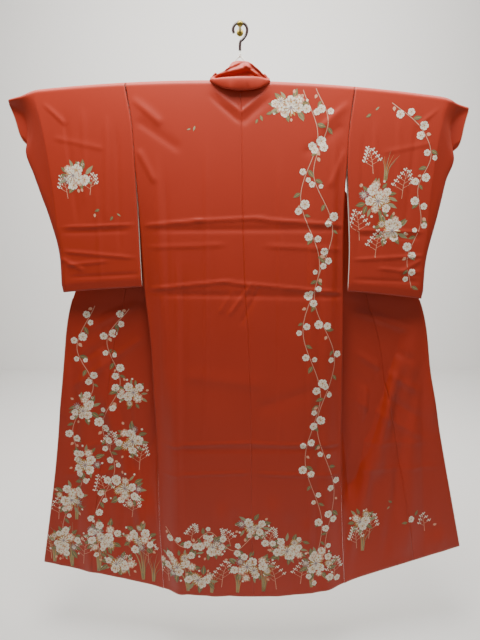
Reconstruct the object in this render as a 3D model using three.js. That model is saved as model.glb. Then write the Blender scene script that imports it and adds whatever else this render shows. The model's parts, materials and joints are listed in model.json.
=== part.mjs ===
// A lined silk kimono hung on a straight sleeve rod from a wall hook, seen from its back.
// Millimetres, +Z up. The origin is the middle of the wall hook's back face, on the wall. The wall is the
// plane y = 0, and everything lies in front of it, towards -Y. The kimono's back faces -Y, so the viewer's
// left (-X) is the wearer's left.
//
// Every panel is a wall of cloth: a grid of middle points with half the thickness laid off to each side.
// "down" is the distance along the cloth from the top of the rod. "out" runs away from the wearer's middle.
import * as THREE from "three";

// ---- cloth ----
const CLOTH = 1.4; // the outer silk and its lining together
const COLLAR_CLOTH = 2.6; // the collar is folded cloth over a stiffener
const SEAM = 0.3; // neighbouring pieces stand this far apart
const SHOULDER_GAP = 0.9; // the same across the top of the rod, where the cloth is bent most

// ---- hanger rod ----
const ROD_RADIUS = 10.5;
const ROD_HALF = 566; // middle to end
const ROD_Y = -45;
const ROD_Z = -157; // its axis, in the middle
const ROD_SAG = 32.5; // how far the ends hang below the middle
const ROD_TILT = 9.4; // how far the right end is below level, and the left end above it
const OVER_ROD = 12.5; // rod axis to the middle of the cloth that lies over it
const QUARTER = (OVER_ROD * Math.PI) / 2; // cloth from the top of the rod to its side

// ---- the cut ----
const LENGTH = 1575; // shoulder to hem
const NECK_HALF = 88; // middle to the side of the neck
const NECK_DROP = 36; // the back neckline's depth in the middle
const FRONT_WIDTH = 245;
const OVERLAP_WIDTH = 162; // the okumi at the hem
const OVERLAP_TOP = 230; // down to the okumi's point
const COLLAR_END = 710; // down to the collar's lower end
const SLEEVE_WIDTH = 340;
const SLEEVE_LENGTH = 568;
const ARMHOLE = 230; // down to the end of the sleeve's seam with the body
const SIDE_SEAM = 380; // down to where back and front are joined
const CUFF = 230; // down to the end of the wrist opening

// ---- the way it hangs: a row for each level, in mm ----
// The back: its side edges, its middle seam, and how far its sides and its middle stand off the wall.
const BACK = [
  { down: 0, left: -324, middle: 0, right: 324, sideY: -57.5, middleY: -57.5 },
  { down: 120, left: -308, middle: 4, right: 312, sideY: -57.5, middleY: -58 },
  { down: 230, left: -303, middle: 6, right: 308, sideY: -57, middleY: -59 },
  { down: 380, left: -296, middle: 8, right: 305, sideY: -52, middleY: -61 },
  { down: 590, left: -288, middle: 15, right: 311, sideY: -48, middleY: -64 },
  { down: 760, left: -274, middle: 26, right: 315, sideY: -46, middleY: -67 },
  { down: 920, left: -269, middle: 32, right: 318, sideY: -46, middleY: -70 },
  { down: 1100, left: -262, middle: 35, right: 321, sideY: -48, middleY: -74 },
  { down: 1350, left: -261, middle: 37, right: 330, sideY: -54, middleY: -80 },
  { down: 1575, left: -252, middle: 45, right: 344, sideY: -62, middleY: -86 },
];
const ROUNDING = 0.22; // the share of the back's half width that curves away to its side
const HEM = { left: -1722, middle: -1733, right: -1703 }; // the back's hem, height

// The fronts are drawn out sideways. Their free edge goes from the neck to the collar's end and on to the
// hem's corner. They first run inwards behind the back, and turn round towards the wall ("turn" degrees).
const FRONTS = {
  left: {
    side: -1,
    edge: [
      { down: 0, x: -88, y: -12, z: -144.5 },
      { down: 20, x: -98, y: -12, z: -161 },
      { down: 110, x: -153, y: -12, z: -235 },
      { down: 230, x: -225, y: -12, z: -338 },
      { down: 470, x: -369, y: -11, z: -545 },
      { down: 710, x: -514, y: -11, z: -757 },
      { down: 1000, x: -564, y: -15, z: -1052 },
      { down: 1300, x: -606, y: -20, z: -1356 },
      { down: 1575, x: -655, y: -26, z: -1651 },
    ],
  },
  right: {
    side: 1,
    edge: [
      { down: 0, x: 88, y: -12, z: -144.5 },
      { down: 20, x: 98, y: -12, z: -161 },
      { down: 110, x: 158, y: -12, z: -235 },
      { down: 230, x: 235, y: -12, z: -338 },
      { down: 470, x: 392, y: -11, z: -545 },
      { down: 710, x: 552, y: -11, z: -762 },
      { down: 1000, x: 609, y: -15, z: -1038 },
      { down: 1300, x: 668, y: -20, z: -1310 },
      { down: 1575, x: 731, y: -26, z: -1594 },
    ],
  },
};
const FRONT_TURN = [
  { down: 0, turn: 180, bend: 38 },
  { down: 560, turn: 178, bend: 44 },
  { down: 760, turn: 150, bend: 70 },
  { down: 1000, turn: 112, bend: 96 },
  { down: 1250, turn: 78, bend: 130 },
  { down: 1575, turn: 24, bend: 150 },
];

// The sleeves: the inner edge, where the cloth starts to turn back past the rod's end, by how many degrees,
// and over what length.
const SLEEVES = {
  left: {
    side: -1,
    rows: [
      { down: 0, inner: 324, fold: 588, turn: 14, bend: 30 },
      { down: 50, inner: 316, fold: 573, turn: 36, bend: 40 },
      { down: 100, inner: 309, fold: 577, turn: 58, bend: 46 },
      { down: 150, inner: 306, fold: 593, turn: 96, bend: 46 },
      { down: 215, inner: 304, fold: 577, turn: 140, bend: 50 },
      { down: 275, inner: 302, fold: 558, turn: 160, bend: 56 },
      { down: 345, inner: 300, fold: 537, turn: 170, bend: 56 },
      { down: 455, inner: 297, fold: 517, turn: 175, bend: 46 },
      { down: 568, inner: 294, fold: 517, turn: 176, bend: 42 },
    ],
  },
  right: {
    side: 1,
    rows: [
      { down: 0, inner: 324, fold: 580, turn: 24, bend: 30 },
      { down: 50, inner: 318, fold: 562, turn: 42, bend: 40 },
      { down: 100, inner: 313, fold: 574, turn: 58, bend: 46 },
      { down: 150, inner: 310, fold: 594, turn: 96, bend: 46 },
      { down: 215, inner: 310, fold: 577, turn: 140, bend: 50 },
      { down: 275, inner: 314, fold: 564, turn: 160, bend: 56 },
      { down: 345, inner: 319, fold: 551, turn: 170, bend: 56 },
      { down: 455, inner: 325, fold: 534, turn: 175, bend: 46 },
      { down: 568, inner: 324, fold: 532, turn: 176, bend: 42 },
    ],
  },
};
// How far the sleeve stands off the wall, the space between its two layers (over the rod, and past its end),
// and how near to the wall the turned-back strip may come.
const SLEEVE_HANG = [
  { down: 0, y: -45, gap: 25, outerGap: 12, nearest: -14 },
  { down: 230, y: -45.5, gap: 24, outerGap: 11, nearest: -16 },
  { down: 380, y: -49, gap: 15, outerGap: 10, nearest: -23 },
  { down: 568, y: -53, gap: 9, outerGap: 9, nearest: -25 },
];
const CLOSED_GAP = CLOTH + 0.8; // two sewn layers, middle to middle
const CLOSING = 20; // the width over which two layers close up to their seam
const CUFF_DROOP = 0.16; // slope of the sleeve's top past the rod's end

// Large soft folds along lines, from x0, z0 to x1, z1: a ridge towards the viewer, or a trough if height is
// below 0.
const FOLDS = [
  { x0: -470, z0: -800, x1: -232, z1: -1640, width: 44, height: 15 },
  { x0: -430, z0: -760, x1: -296, z1: -1420, width: 34, height: -12 },
  { x0: -500, z0: -800, x1: -500, z1: -1640, width: 26, height: 9 },
  { x0: -560, z0: -1100, x1: -590, z1: -1640, width: 30, height: -7 },
  { x0: 520, z0: -780, x1: 342, z1: -1400, width: 30, height: -15 },
  { x0: 500, z0: -800, x1: 452, z1: -1320, width: 22, height: 12 },
  { x0: 535, z0: -800, x1: 560, z1: -1560, width: 26, height: 10 },
  { x0: 620, z0: -1100, x1: 652, z1: -1540, width: 34, height: -8 },
  { x0: -205, z0: -900, x1: -205, z1: -1700, width: 30, height: 6 },
  { x0: 240, z0: -1000, x1: 262, z1: -1690, width: 40, height: -6 },
];

// ---- collar ----
// The collar behind the neck hangs out over its seam and goes up to a crease. Behind the crease is a hollow,
// and its inner half stands up before the hanger's cord. Y and Z of each of these lines.
const NECK_COLLAR = [
  { x: -83, foldY: -59.5, foldZ: -147.5, creaseY: -60, creaseZ: -143.5,
    innerY: -54, innerZ: -141, topY: -50, topZ: -136.5 },
  { x: -70, foldY: -66, foldZ: -156.5, creaseY: -67, creaseZ: -146,
    innerY: -57, innerZ: -143, topY: -52, topZ: -134 },
  { x: -50, foldY: -70, foldZ: -166, creaseY: -72, creaseZ: -145.5,
    innerY: -57, innerZ: -142, topY: -54, topZ: -127 },
  { x: -32, foldY: -72, foldZ: -171, creaseY: -74.5, creaseZ: -145,
    innerY: -56, innerZ: -140, topY: -55, topZ: -115 },
  { x: -22, foldY: -72.5, foldZ: -172.5, creaseY: -75, creaseZ: -144.5,
    innerY: -55, innerZ: -139, topY: -56, topZ: -100 },
  { x: 0, foldY: -73, foldZ: -173.5, creaseY: -76, creaseZ: -144,
    innerY: -54, innerZ: -138, topY: -57, topZ: -96 },
  { x: 24, foldY: -73, foldZ: -173, creaseY: -75, creaseZ: -144,
    innerY: -55, innerZ: -138, topY: -58, topZ: -99 },
  { x: 36, foldY: -72, foldZ: -172, creaseY: -74, creaseZ: -144,
    innerY: -58, innerZ: -139, topY: -60, topZ: -108 },
  { x: 52, foldY: -70, foldZ: -168.5, creaseY: -71, creaseZ: -144.5,
    innerY: -59, innerZ: -140, topY: -58, topZ: -120 },
  { x: 70, foldY: -65.5, foldZ: -159, creaseY: -66.5, creaseZ: -147,
    innerY: -57, innerZ: -143.5, topY: -53, topZ: -135 },
  { x: 83, foldY: -59.5, foldZ: -150.5, creaseY: -60, creaseZ: -146.5,
    innerY: -54, innerZ: -143.5, topY: -50, topZ: -139 },
];
// The collar along each front is turned in behind it. From the front's edge: where its seam lies (inwards, up
// and towards the wall), and how far it goes on from there to its other edge.
const FRONT_COLLAR = [
  { down: 0, seamIn: 3, seamUp: 2, seamBack: 0, inwards: 12, up: 16, back: 0 },
  { down: 10, seamIn: 4, seamUp: 3, seamBack: 4, inwards: 22, up: 26, back: 2 },
  { down: 24, seamIn: 4, seamUp: 2, seamBack: 6, inwards: 38, up: 26, back: 3 },
  { down: 60, seamIn: 1, seamUp: 0, seamBack: 4, inwards: 50, up: 16, back: 2 },
  { down: 110, seamIn: 0, seamUp: 0, seamBack: 3, inwards: 54, up: -4, back: 1 },
  { down: 180, seamIn: 0, seamUp: 0, seamBack: 3, inwards: 48, up: -26, back: 0 },
  { down: 710, seamIn: 0, seamUp: 0, seamBack: 3, inwards: 44, up: -33, back: 0 },
];

// ---- wall hook: radii, and distances out from the wall ----
const PLATE = { radius: 10, thick: 4 };
const ARM = { radius: 4, reach: 51 };
const BALL = { radius: 8.5, out: 58 };

// ---- hanger hook: its wire's middle line, from the tip over the arm down to the shank's end ----
const WIRE_RADIUS = 4;
const HOOK_TOP = ARM.radius + SEAM + WIRE_RADIUS; // the wire's middle over the arm
const HOOK_LINE = [
  { x: -17, drop: 27 },
  { x: -19.5, drop: 18 },
  { x: -16.5, drop: 8 },
  { x: -9, drop: 1.8 },
  { x: 0, drop: 0 },
  { x: 9.5, drop: 1.8 },
  { x: 17, drop: 8 },
  { x: 20, drop: 18 },
  { x: 17, drop: 31 },
  { x: 9, drop: 42 },
  { x: 2, drop: 48 },
  { x: 0, drop: 56 },
  { x: 0, drop: 72 },
];

// ---- cord ----
const CORD_RADIUS = 1.6;
const KNOT = { radius: 3.8, z: -77.5, neck: 2 };
const CORD_FOOT = 70; // where its two legs stand on the rod, out from the middle

const SILK = new THREE.MeshStandardMaterial({ color: 0xad2f18, roughness: 0.5, metalness: 0 });
const COLLAR_SILK = new THREE.MeshStandardMaterial({ color: 0xad3019, roughness: 0.5, metalness: 0 });
const ROD_WOOD = new THREE.MeshStandardMaterial({ color: 0x5a3826, roughness: 0.5, metalness: 0 });
const HOOK_LACQUER = new THREE.MeshStandardMaterial({ color: 0x2b1515, roughness: 0.35, metalness: 0 });
const CORD_COTTON = new THREE.MeshStandardMaterial({ color: 0xefebe2, roughness: 0.85, metalness: 0 });
const BRASS = new THREE.MeshStandardMaterial({ color: 0x8d7a3a, roughness: 0.4, metalness: 1 });

const part = new THREE.Group();
const clamp = THREE.MathUtils.clamp;
const lerp = THREE.MathUtils.lerp;
const radians = THREE.MathUtils.degToRad;
const smooth = (share) => {
  const t = clamp(share, 0, 1);
  return t * t * (3 - 2 * t);
};

// A table's column at a place, smooth through its rows (cubic, with the slopes of the rows beside each).
function read(table, key, place, column) {
  const last = table.length - 1;
  const at = clamp(place, table[0][key], table[last][key]);
  let i = 0;
  while (i < last - 1 && at > table[i + 1][key]) i++;
  const slope = (k) => {
    const before = table[Math.max(k - 1, 0)];
    const after = table[Math.min(k + 1, last)];
    return (after[column] - before[column]) / (after[key] - before[key]);
  };
  const step = table[i + 1][key] - table[i][key];
  const t = (at - table[i][key]) / step;
  const t2 = t * t;
  const t3 = t2 * t;
  return (
    (2 * t3 - 3 * t2 + 1) * table[i][column] +
    (t3 - 2 * t2 + t) * step * slope(i) +
    (3 * t2 - 2 * t3) * table[i + 1][column] +
    (t3 - t2) * step * slope(i + 1)
  );
}

// How far the large folds lift a point towards the viewer.
function foldHeight(x, z) {
  let height = 0;
  for (const fold of FOLDS) {
    const run = new THREE.Vector2(fold.x1 - fold.x0, fold.z1 - fold.z0);
    const from = new THREE.Vector2(x - fold.x0, z - fold.z0);
    const along = from.dot(run) / run.lengthSq();
    const beside = Math.abs(from.cross(run)) / run.length();
    const ends = smooth(along / 0.25) * smooth((1.1 - along) / 0.15);
    height += fold.height * ends * Math.exp(-((beside / fold.width) ** 2));
  }
  return height;
}

// The rod's axis height at x. Past the rod's end the cloth droops.
function rodHeight(x) {
  const share = x / ROD_HALF;
  const past = Math.max(0, Math.abs(x) - ROD_HALF);
  const held = Math.sign(x) * Math.min(Math.abs(share), 1);
  return ROD_Z - ROD_SAG * held ** 2 - ROD_TILT * held - CUFF_DROOP * past;
}

// A closed wall of cloth on a grid of middle points.
function clothWall(name, material, across, along, middle, thickness = CLOTH) {
  const points = across.map((u) => along.map((v) => middle(u, v)));
  const [nu, nv] = [across.length, along.length];
  const normal = (i, j) => {
    const du = points[Math.min(i + 1, nu - 1)][j].clone().sub(points[Math.max(i - 1, 0)][j]);
    const dv = points[i][Math.min(j + 1, nv - 1)].clone().sub(points[i][Math.max(j - 1, 0)]);
    return du.cross(dv).normalize();
  };
  const corners = [];
  for (const face of [0.5, -0.5])
    for (let i = 0; i < nu; i++)
      for (let j = 0; j < nv; j++)
        corners.push(...points[i][j].clone().addScaledVector(normal(i, j), face * thickness).toArray());
  const at = (face, i, j) => (face * nu + i) * nv + j;
  const faces = [];
  const quad = (a, b, c, d) => faces.push(a, b, c, a, c, d);
  for (let i = 0; i < nu - 1; i++)
    for (let j = 0; j < nv - 1; j++) {
      quad(at(0, i, j), at(0, i + 1, j), at(0, i + 1, j + 1), at(0, i, j + 1));
      quad(at(1, i, j), at(1, i, j + 1), at(1, i + 1, j + 1), at(1, i + 1, j));
    }
  for (let i = 0; i < nu - 1; i++) {
    quad(at(0, i, 0), at(1, i, 0), at(1, i + 1, 0), at(0, i + 1, 0));
    quad(at(0, i, nv - 1), at(0, i + 1, nv - 1), at(1, i + 1, nv - 1), at(1, i, nv - 1));
  }
  for (let j = 0; j < nv - 1; j++) {
    quad(at(0, 0, j), at(0, 0, j + 1), at(1, 0, j + 1), at(1, 0, j));
    quad(at(0, nu - 1, j), at(1, nu - 1, j), at(1, nu - 1, j + 1), at(0, nu - 1, j + 1));
  }
  const geometry = new THREE.BufferGeometry();
  geometry.setAttribute("position", new THREE.Float32BufferAttribute(corners, 3));
  geometry.setIndex(facingOut(corners, faces));
  return add(name, geometry, material);
}

// The faces as given, or all of them turned round if the solid they close is inside out.
function facingOut(corners, faces) {
  const corner = (k) => new THREE.Vector3(...corners.slice(3 * faces[k], 3 * faces[k] + 3));
  let volume = 0;
  for (let k = 0; k < faces.length; k += 3) volume += corner(k).dot(corner(k + 1).cross(corner(k + 2)));
  if (volume > 0) return faces;
  const turned = [];
  for (let k = 0; k < faces.length; k += 3) turned.push(faces[k], faces[k + 2], faces[k + 1]);
  return turned;
}

function add(name, geometry, material) {
  const mesh = new THREE.Mesh(geometry, material);
  mesh.name = name;
  part.add(mesh);
  return mesh;
}

// count + 1 places from a to b. Places are closer to b if power is over 1.
function places(a, b, count, power = 1) {
  return Array.from({ length: count + 1 }, (_, i) => lerp(a, b, 1 - (1 - i / count) ** power));
}

// ---- back ----
// The depth of the back neckline below the shoulder, out from the middle.
function neckline(x) {
  return Math.abs(x) < NECK_HALF ? NECK_DROP * Math.sqrt(1 - (x / NECK_HALF) ** 2) : 0;
}

function backPoint(side, share, downShare) {
  const inset = SEAM / 2;
  const down = lerp(neckline(share * BACK[0].right) + SHOULDER_GAP / 2, LENGTH, downShare);
  const middle = read(BACK, "down", down, "middle") + side * inset;
  const edge = read(BACK, "down", down, side < 0 ? "left" : "right") - side * inset;
  const x = lerp(middle, edge, share);
  const top = rodHeight(x);
  if (down < QUARTER) {
    const angle = down / OVER_ROD;
    return new THREE.Vector3(x, ROD_Y - OVER_ROD * Math.sin(angle), top + OVER_ROD * Math.cos(angle));
  }
  const hem = lerp(HEM.middle, side < 0 ? HEM.left : HEM.right, share ** 2);
  const z = lerp(top, hem, (down - QUARTER) / (LENGTH - QUARTER));
  const round = smooth((share - (1 - ROUNDING)) / ROUNDING);
  const y = lerp(read(BACK, "down", down, "middleY"), read(BACK, "down", down, "sideY"), round);
  const settled = smooth((down - 300) / 300) * (1 - round);
  return new THREE.Vector3(x, y - foldHeight(x, z) * settled, z);
}

// ---- fronts and overlaps ----
function overlapWidth(down) {
  if (down < OVERLAP_TOP) return 0;
  const cut = clamp((down - OVERLAP_TOP) / (COLLAR_END - OVERLAP_TOP), 0, 1);
  return OVERLAP_WIDTH * (cut - 0.03 * smooth((LENGTH - down) / (LENGTH - COLLAR_END)) * cut);
}

// Where the front starts: beside the back's side edge, or under the rod's wall side above the side seam.
function frontStart(side, down) {
  const column = side < 0 ? "left" : "right";
  const x = read(BACK, "down", down, column);
  const joined = smooth((down - ARMHOLE) / (SIDE_SEAM - ARMHOLE));
  const turn = radians(read(FRONT_TURN, "down", down, "turn"));
  const off = SEAM + CLOTH * Math.sin(turn / 2);
  const y = lerp(ROD_Y + OVER_ROD, read(BACK, "down", down, "sideY") + off * Math.sin(turn / 2), joined);
  const z = lerp(
    rodHeight(x),
    HEM[column],
    Math.max(0, down - QUARTER) / (LENGTH - QUARTER),
  );
  return new THREE.Vector3(x + side * (off * Math.cos(turn / 2) * joined - (SEAM / 2) * (1 - joined)), y, z);
}

// One level of a front and its overlap, from the side seam to the free edge.
const STEPS = 96;
const levels = new Map();
function level(front, down) {
  const key = front.side + ":" + down;
  if (levels.has(key)) return levels.get(key);
  const start = frontStart(front.side, down);
  const end = new THREE.Vector3(...["x", "y", "z"].map((c) => read(front.edge, "down", down, c)));
  const width = FRONT_WIDTH + overlapWidth(down);
  const turn = radians(read(FRONT_TURN, "down", down, "turn"));
  const bend = read(FRONT_TURN, "down", down, "bend");
  const rise = end.z - start.z;
  const flat = Math.sqrt(Math.max(width ** 2 - rise ** 2, 1));
  const reach = front.side * (end.x - start.x); // outwards
  const inwards = clamp((flat - reach) / 2, 0, flat);
  const path = [new THREE.Vector3(0, 0, 0)];
  for (let k = 1; k <= STEPS; k++) {
    const place = ((k - 0.5) / STEPS) * flat;
    const heading = turn * (1 - smooth((place - inwards + bend / 2) / bend));
    const step = flat / STEPS;
    const run = new THREE.Vector3(Math.cos(heading), Math.sin(heading), 0);
    path.push(path[k - 1].clone().addScaledVector(run, step));
  }
  const missX = reach - path[STEPS].x;
  const missY = end.y - start.y - path[STEPS].y;
  const made = path.map((p, k) => {
    const share = k / STEPS;
    return new THREE.Vector3(
      start.x + front.side * (p.x + missX * share),
      start.y + p.y + missY * share,
      lerp(start.z, end.z, share),
    );
  });
  levels.set(key, { path: made, width });
  return levels.get(key);
}

function frontPoint(front, out, down) {
  const { path, width } = level(front, down);
  const place = clamp(out / width, 0, 1) * STEPS;
  const k = Math.min(Math.floor(place), STEPS - 1);
  const p = path[k].clone().lerp(path[k + 1], place - k);
  if (down < QUARTER) {
    const angle = down / OVER_ROD;
    p.y = ROD_Y + OVER_ROD * Math.sin(angle);
    p.z = rodHeight(p.x) + OVER_ROD * Math.cos(angle);
    return p;
  }
  p.y = lerp(ROD_Y + OVER_ROD, p.y, smooth((down - QUARTER) / 60));
  const visible = smooth((down - 620) / 200) * smooth(out / 60);
  p.y = Math.min(p.y - foldHeight(p.x, p.z) * visible, -4);
  return p;
}

// ---- sleeves ----
function sleeveMiddle(sleeve, place, down) {
  const row = (column) => read(sleeve.rows, "down", down, column);
  const straight = row("fold") - row("inner");
  const turn = radians(row("turn"));
  const nearest = read(SLEEVE_HANG, "down", down, "nearest");
  const steps = 64;
  const step = place / steps;
  let x = row("inner") + SEAM / 2;
  let y = read(SLEEVE_HANG, "down", down, "y");
  let heading = 0;
  for (let k = 0; k < steps; k++) {
    heading = turn * smooth(((k + 0.5) * step - straight) / row("bend"));
    // Near the wall the strip lies down along it, and keeps its length.
    const lying = Math.PI * smooth((turn - 0.8) / 1.1);
    heading = lerp(lying, heading, smooth((nearest - y) / 20));
    x += Math.cos(heading) * step;
    y = Math.min(y + Math.sin(heading) * step, nearest + 3);
  }
  return { x: sleeve.side * x, y, heading };
}

function sleevePoint(sleeve, layer, place, down) {
  const held = smooth((place - 252) / 50);
  let gap = lerp(
    read(SLEEVE_HANG, "down", down, "gap"),
    read(SLEEVE_HANG, "down", down, "outerGap"),
    held,
  );
  const toBottom = smooth((SLEEVE_LENGTH - down) / CLOSING);
  const toEdge = down > CUFF ? smooth((SLEEVE_WIDTH - place) / CLOSING) : 1;
  const cuffEnd = smooth((down - CUFF) / 20);
  gap = lerp(CLOSED_GAP, gap, Math.min(toBottom, lerp(1, toEdge, cuffEnd)));
  const half = gap / 2;
  const quarter = (half * Math.PI) / 2;
  const onRod = Math.min(down, quarter) / half;
  const below = Math.max(down - quarter, 0);
  const m = sleeveMiddle(sleeve, place, (below * SLEEVE_LENGTH) / (SLEEVE_LENGTH - quarter));
  const off = half * Math.sin(onRod) * layer;
  const x = m.x + sleeve.side * Math.sin(m.heading) * off;
  const y = m.y - Math.cos(m.heading) * off;
  const top = rodHeight(m.x) + half * Math.cos(onRod);
  return new THREE.Vector3(x, y, top - below);
}

// ---- build the cloth ----
const NECK_SHARES = [0, 0.09, 0.16, 0.21, 0.24, 0.258, NECK_HALF / BACK[0].right, 0.29];
const BACK_SHARES = [...NECK_SHARES, 0.5, 0.7, 0.8, 0.87, 0.94, 1];
const SHOULDER_ROWS = [SHOULDER_GAP / 2, 7, 14, QUARTER];
for (const [name, side] of [["left", -1], ["right", 1]]) {
  const topShares = [0, 0.0045, 0.009, 0.0135, 0.03, 0.07];
  clothWall(
    "back_" + name, SILK,
    BACK_SHARES,
    [...topShares, ...places(0.12, 1, 17)],
    (share, down) => backPoint(side, share, down),
  );
}
const FRONT_ROWS = [
  ...SHOULDER_ROWS, 45, 80, 120, 175, 240, 310, ...places(400, 700, 3), 780,
  ...places(860, 1490, 7), LENGTH,
];
for (const [name, front] of Object.entries(FRONTS)) {
  clothWall(
    "front_" + name, SILK,
    places(0, FRONT_WIDTH - SEAM, 18),
    FRONT_ROWS,
    (out, down) => frontPoint(front, out, down),
  );
  clothWall(
    "okumi_" + name, SILK,
    [0, 0.25, 0.5, 0.75, 1],
    FRONT_ROWS.filter((down) => down > OVERLAP_TOP + 5),
    (share, down) => frontPoint(front, FRONT_WIDTH + lerp(SEAM, overlapWidth(down), share), down),
  );
}
const SLEEVE_ROWS = [
  SHOULDER_GAP / 2, 7, 13, 20, ...places(55, 195, 4), CUFF, 250, 275, 310, 350,
  ...places(400, 500, 2), 535, 552, 563, SLEEVE_LENGTH,
];
const SLEEVE_PLACES = [
  0, 65, 130, 180, ...places(203, 251, 4), 264, 278, 293, 308, 322, 333, SLEEVE_WIDTH,
];
for (const [name, sleeve] of Object.entries(SLEEVES))
  for (const [half, layer] of [["back", 1], ["front", -1]])
    clothWall(
      "sleeve_" + name + "_" + half, SILK, SLEEVE_PLACES, SLEEVE_ROWS,
      (place, down) => sleevePoint(sleeve, layer, place, down),
    );

// ---- build the collar ----
function smoothCurve(controls, share) {
  return new THREE.CatmullRomCurve3(controls, false, "centripetal").getPoint(share);
}

clothWall("collar_neck", COLLAR_SILK, places(-83, 83, 22), places(0, 1, 16), (x, share) => {
  const row = (column) => read(NECK_COLLAR, "x", x, column);
  const side = Math.sign(x) || 1;
  const down = Math.max(neckline(x), SHOULDER_GAP);
  const seam = backPoint(side, Math.abs(x) / BACK[0].right, 0);
  seam.x = x;
  const lift = down > QUARTER ? new THREE.Vector3(0, -0.4, 2.8) : new THREE.Vector3(0, -0.8, 2.8);
  seam.add(lift);
  const fold = new THREE.Vector3(x, row("foldY"), row("foldZ"));
  const crease = new THREE.Vector3(x, row("creaseY"), row("creaseZ"));
  const inner = new THREE.Vector3(x, row("innerY"), row("innerZ"));
  const top = new THREE.Vector3(x, row("topY"), row("topZ"));
  return smoothCurve([seam, fold, crease, inner, top], share);
}, COLLAR_CLOTH);

for (const [name, front] of Object.entries(FRONTS))
  clothWall(
    "collar_" + name, COLLAR_SILK, [0, 0.12, 0.3, 0.5, 0.75, 1],
    [0, 5, 10, 16, 24, 40, 60, 85, 110, 145, 180, 230, 300, 400, 500, 600, COLLAR_END],
    (share, down) => {
      const row = (column) => read(FRONT_COLLAR, "down", down, column);
      const p = frontPoint(front, FRONT_WIDTH + overlapWidth(down), Math.max(down, SHOULDER_GAP / 2));
      p.x -= front.side * (row("seamIn") + share * row("inwards"));
      p.y += row("seamBack") + share * row("back");
      p.z += row("seamUp") + share * row("up");
      // Lower down it lies along the front, which is found at the same place.
      const lower = down - Math.min(0, share * row("up"));
      const width = FRONT_WIDTH + overlapWidth(lower);
      const edge = frontPoint(front, width, lower);
      const along = frontPoint(front, width - front.side * (edge.x - p.x), lower);
      p.y = lerp(p.y, along.y + row("seamBack"), smooth((down - 110) / 70));
      return p;
    },
    COLLAR_CLOTH,
  );

// ---- rod, hook, cord and wall hook ----
// A round bar along a line that stays at one distance from the wall, with flat ends.
function bar(name, material, line, radius, sides = 16) {
  const corners = [];
  line.forEach((point, i) => {
    const run = line[Math.min(i + 1, line.length - 1)].clone().sub(line[Math.max(i - 1, 0)]).normalize();
    const over = new THREE.Vector3(0, 1, 0).cross(run).normalize();
    for (let k = 0; k < sides; k++) {
      const angle = (2 * Math.PI * k) / sides;
      const p = point.clone().addScaledVector(over, radius * Math.cos(angle));
      p.y += radius * Math.sin(angle);
      corners.push(...p.toArray());
    }
  });
  const faces = [];
  const last = (line.length - 1) * sides;
  for (let k = 0; k < sides; k++) {
    const next = (k + 1) % sides;
    for (let i = 0; i < last; i += sides)
      faces.push(i + k, i + next, i + sides + next, i + k, i + sides + next, i + sides + k);
    if (k > 0 && k < sides - 1) faces.push(0, k + 1, k, last, last + k, last + k + 1);
  }
  const geometry = new THREE.BufferGeometry();
  geometry.setAttribute("position", new THREE.Float32BufferAttribute(corners, 3));
  geometry.setIndex(facingOut(corners, faces));
  return add(name, geometry, material);
}

// A turned piece: its outline's radii and distances, about an axis through "middle".
function turned(name, material, outline, axis, middle) {
  const geometry = new THREE.LatheGeometry(outline.map(([r, t]) => new THREE.Vector2(r, t)), 24);
  geometry.applyQuaternion(new THREE.Quaternion().setFromUnitVectors(new THREE.Vector3(0, 1, 0), axis));
  geometry.translate(middle.x, middle.y, middle.z);
  return add(name, geometry, material);
}

bar(
  "hanger_rod", ROD_WOOD,
  places(-ROD_HALF, ROD_HALF, 24).map((x) => new THREE.Vector3(x, ROD_Y, rodHeight(x))),
  ROD_RADIUS,
);
const hookLine = new THREE.CatmullRomCurve3(
  HOOK_LINE.map(({ x, drop }) => new THREE.Vector3(x, ROD_Y, HOOK_TOP - drop)),
);
bar("hanger_hook", HOOK_LACQUER, hookLine.getSpacedPoints(36), WIRE_RADIUS, 12);

const shankEnd = HOOK_TOP - HOOK_LINE.at(-1).drop;
const knotOutline = [[0, KNOT.z - KNOT.radius]];
for (const angle of places(-60, 52, 6)) {
  const a = radians(angle);
  knotOutline.push([KNOT.radius * Math.cos(a), KNOT.z + KNOT.radius * Math.sin(a)]);
}
knotOutline.push([KNOT.neck, KNOT.z + KNOT.radius], [KNOT.neck, shankEnd - SEAM], [0, shankEnd - SEAM]);
turned(
  "cord_knot", CORD_COTTON,
  knotOutline,
  new THREE.Vector3(0, 1, 0),
  new THREE.Vector3(0, 0, 0),
).geometry.rotateX(Math.PI / 2).translate(0, ROD_Y, 0);
for (const [name, side] of [["left", -1], ["right", 1]]) {
  const foot = new THREE.Vector3(side * CORD_FOOT, ROD_Y, rodHeight(side * CORD_FOOT) + ROD_RADIUS + 2.2);
  const head = new THREE.Vector3(0, ROD_Y, KNOT.z);
  const run = foot.clone().sub(head).normalize();
  head.addScaledVector(run, KNOT.radius + 0.6);
  bar("cord_" + name, CORD_COTTON, [head, foot], CORD_RADIUS, 10);
}

const hookOutline = [
  [0, 0],
  [PLATE.radius, 0],
  [PLATE.radius, PLATE.thick * 0.6],
  [PLATE.radius * 0.8, PLATE.thick],
  [ARM.radius + 1, PLATE.thick + 0.6],
  [ARM.radius, PLATE.thick + 2],
  [ARM.radius, ARM.reach],
];
for (const angle of places(-55, 78, 9)) {
  const a = radians(angle);
  hookOutline.push([BALL.radius * Math.cos(a), BALL.out + BALL.radius * Math.sin(a)]);
}
hookOutline.push([0, BALL.out + BALL.radius]);
turned("wall_hook", BRASS, hookOutline, new THREE.Vector3(0, -1, 0), new THREE.Vector3(0, 0, 0));

export default part;
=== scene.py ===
"""Dresses the hanging kimono: silk shells with their creases, painted flowers, edges, cord and light."""

import json
import logging
import math
from collections.abc import Iterable, Sequence
from dataclasses import dataclass, field
from enum import Enum
from typing import ClassVar

import bpy
import numpy as np
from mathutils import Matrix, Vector
from mathutils.bvhtree import BVHTree

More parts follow.
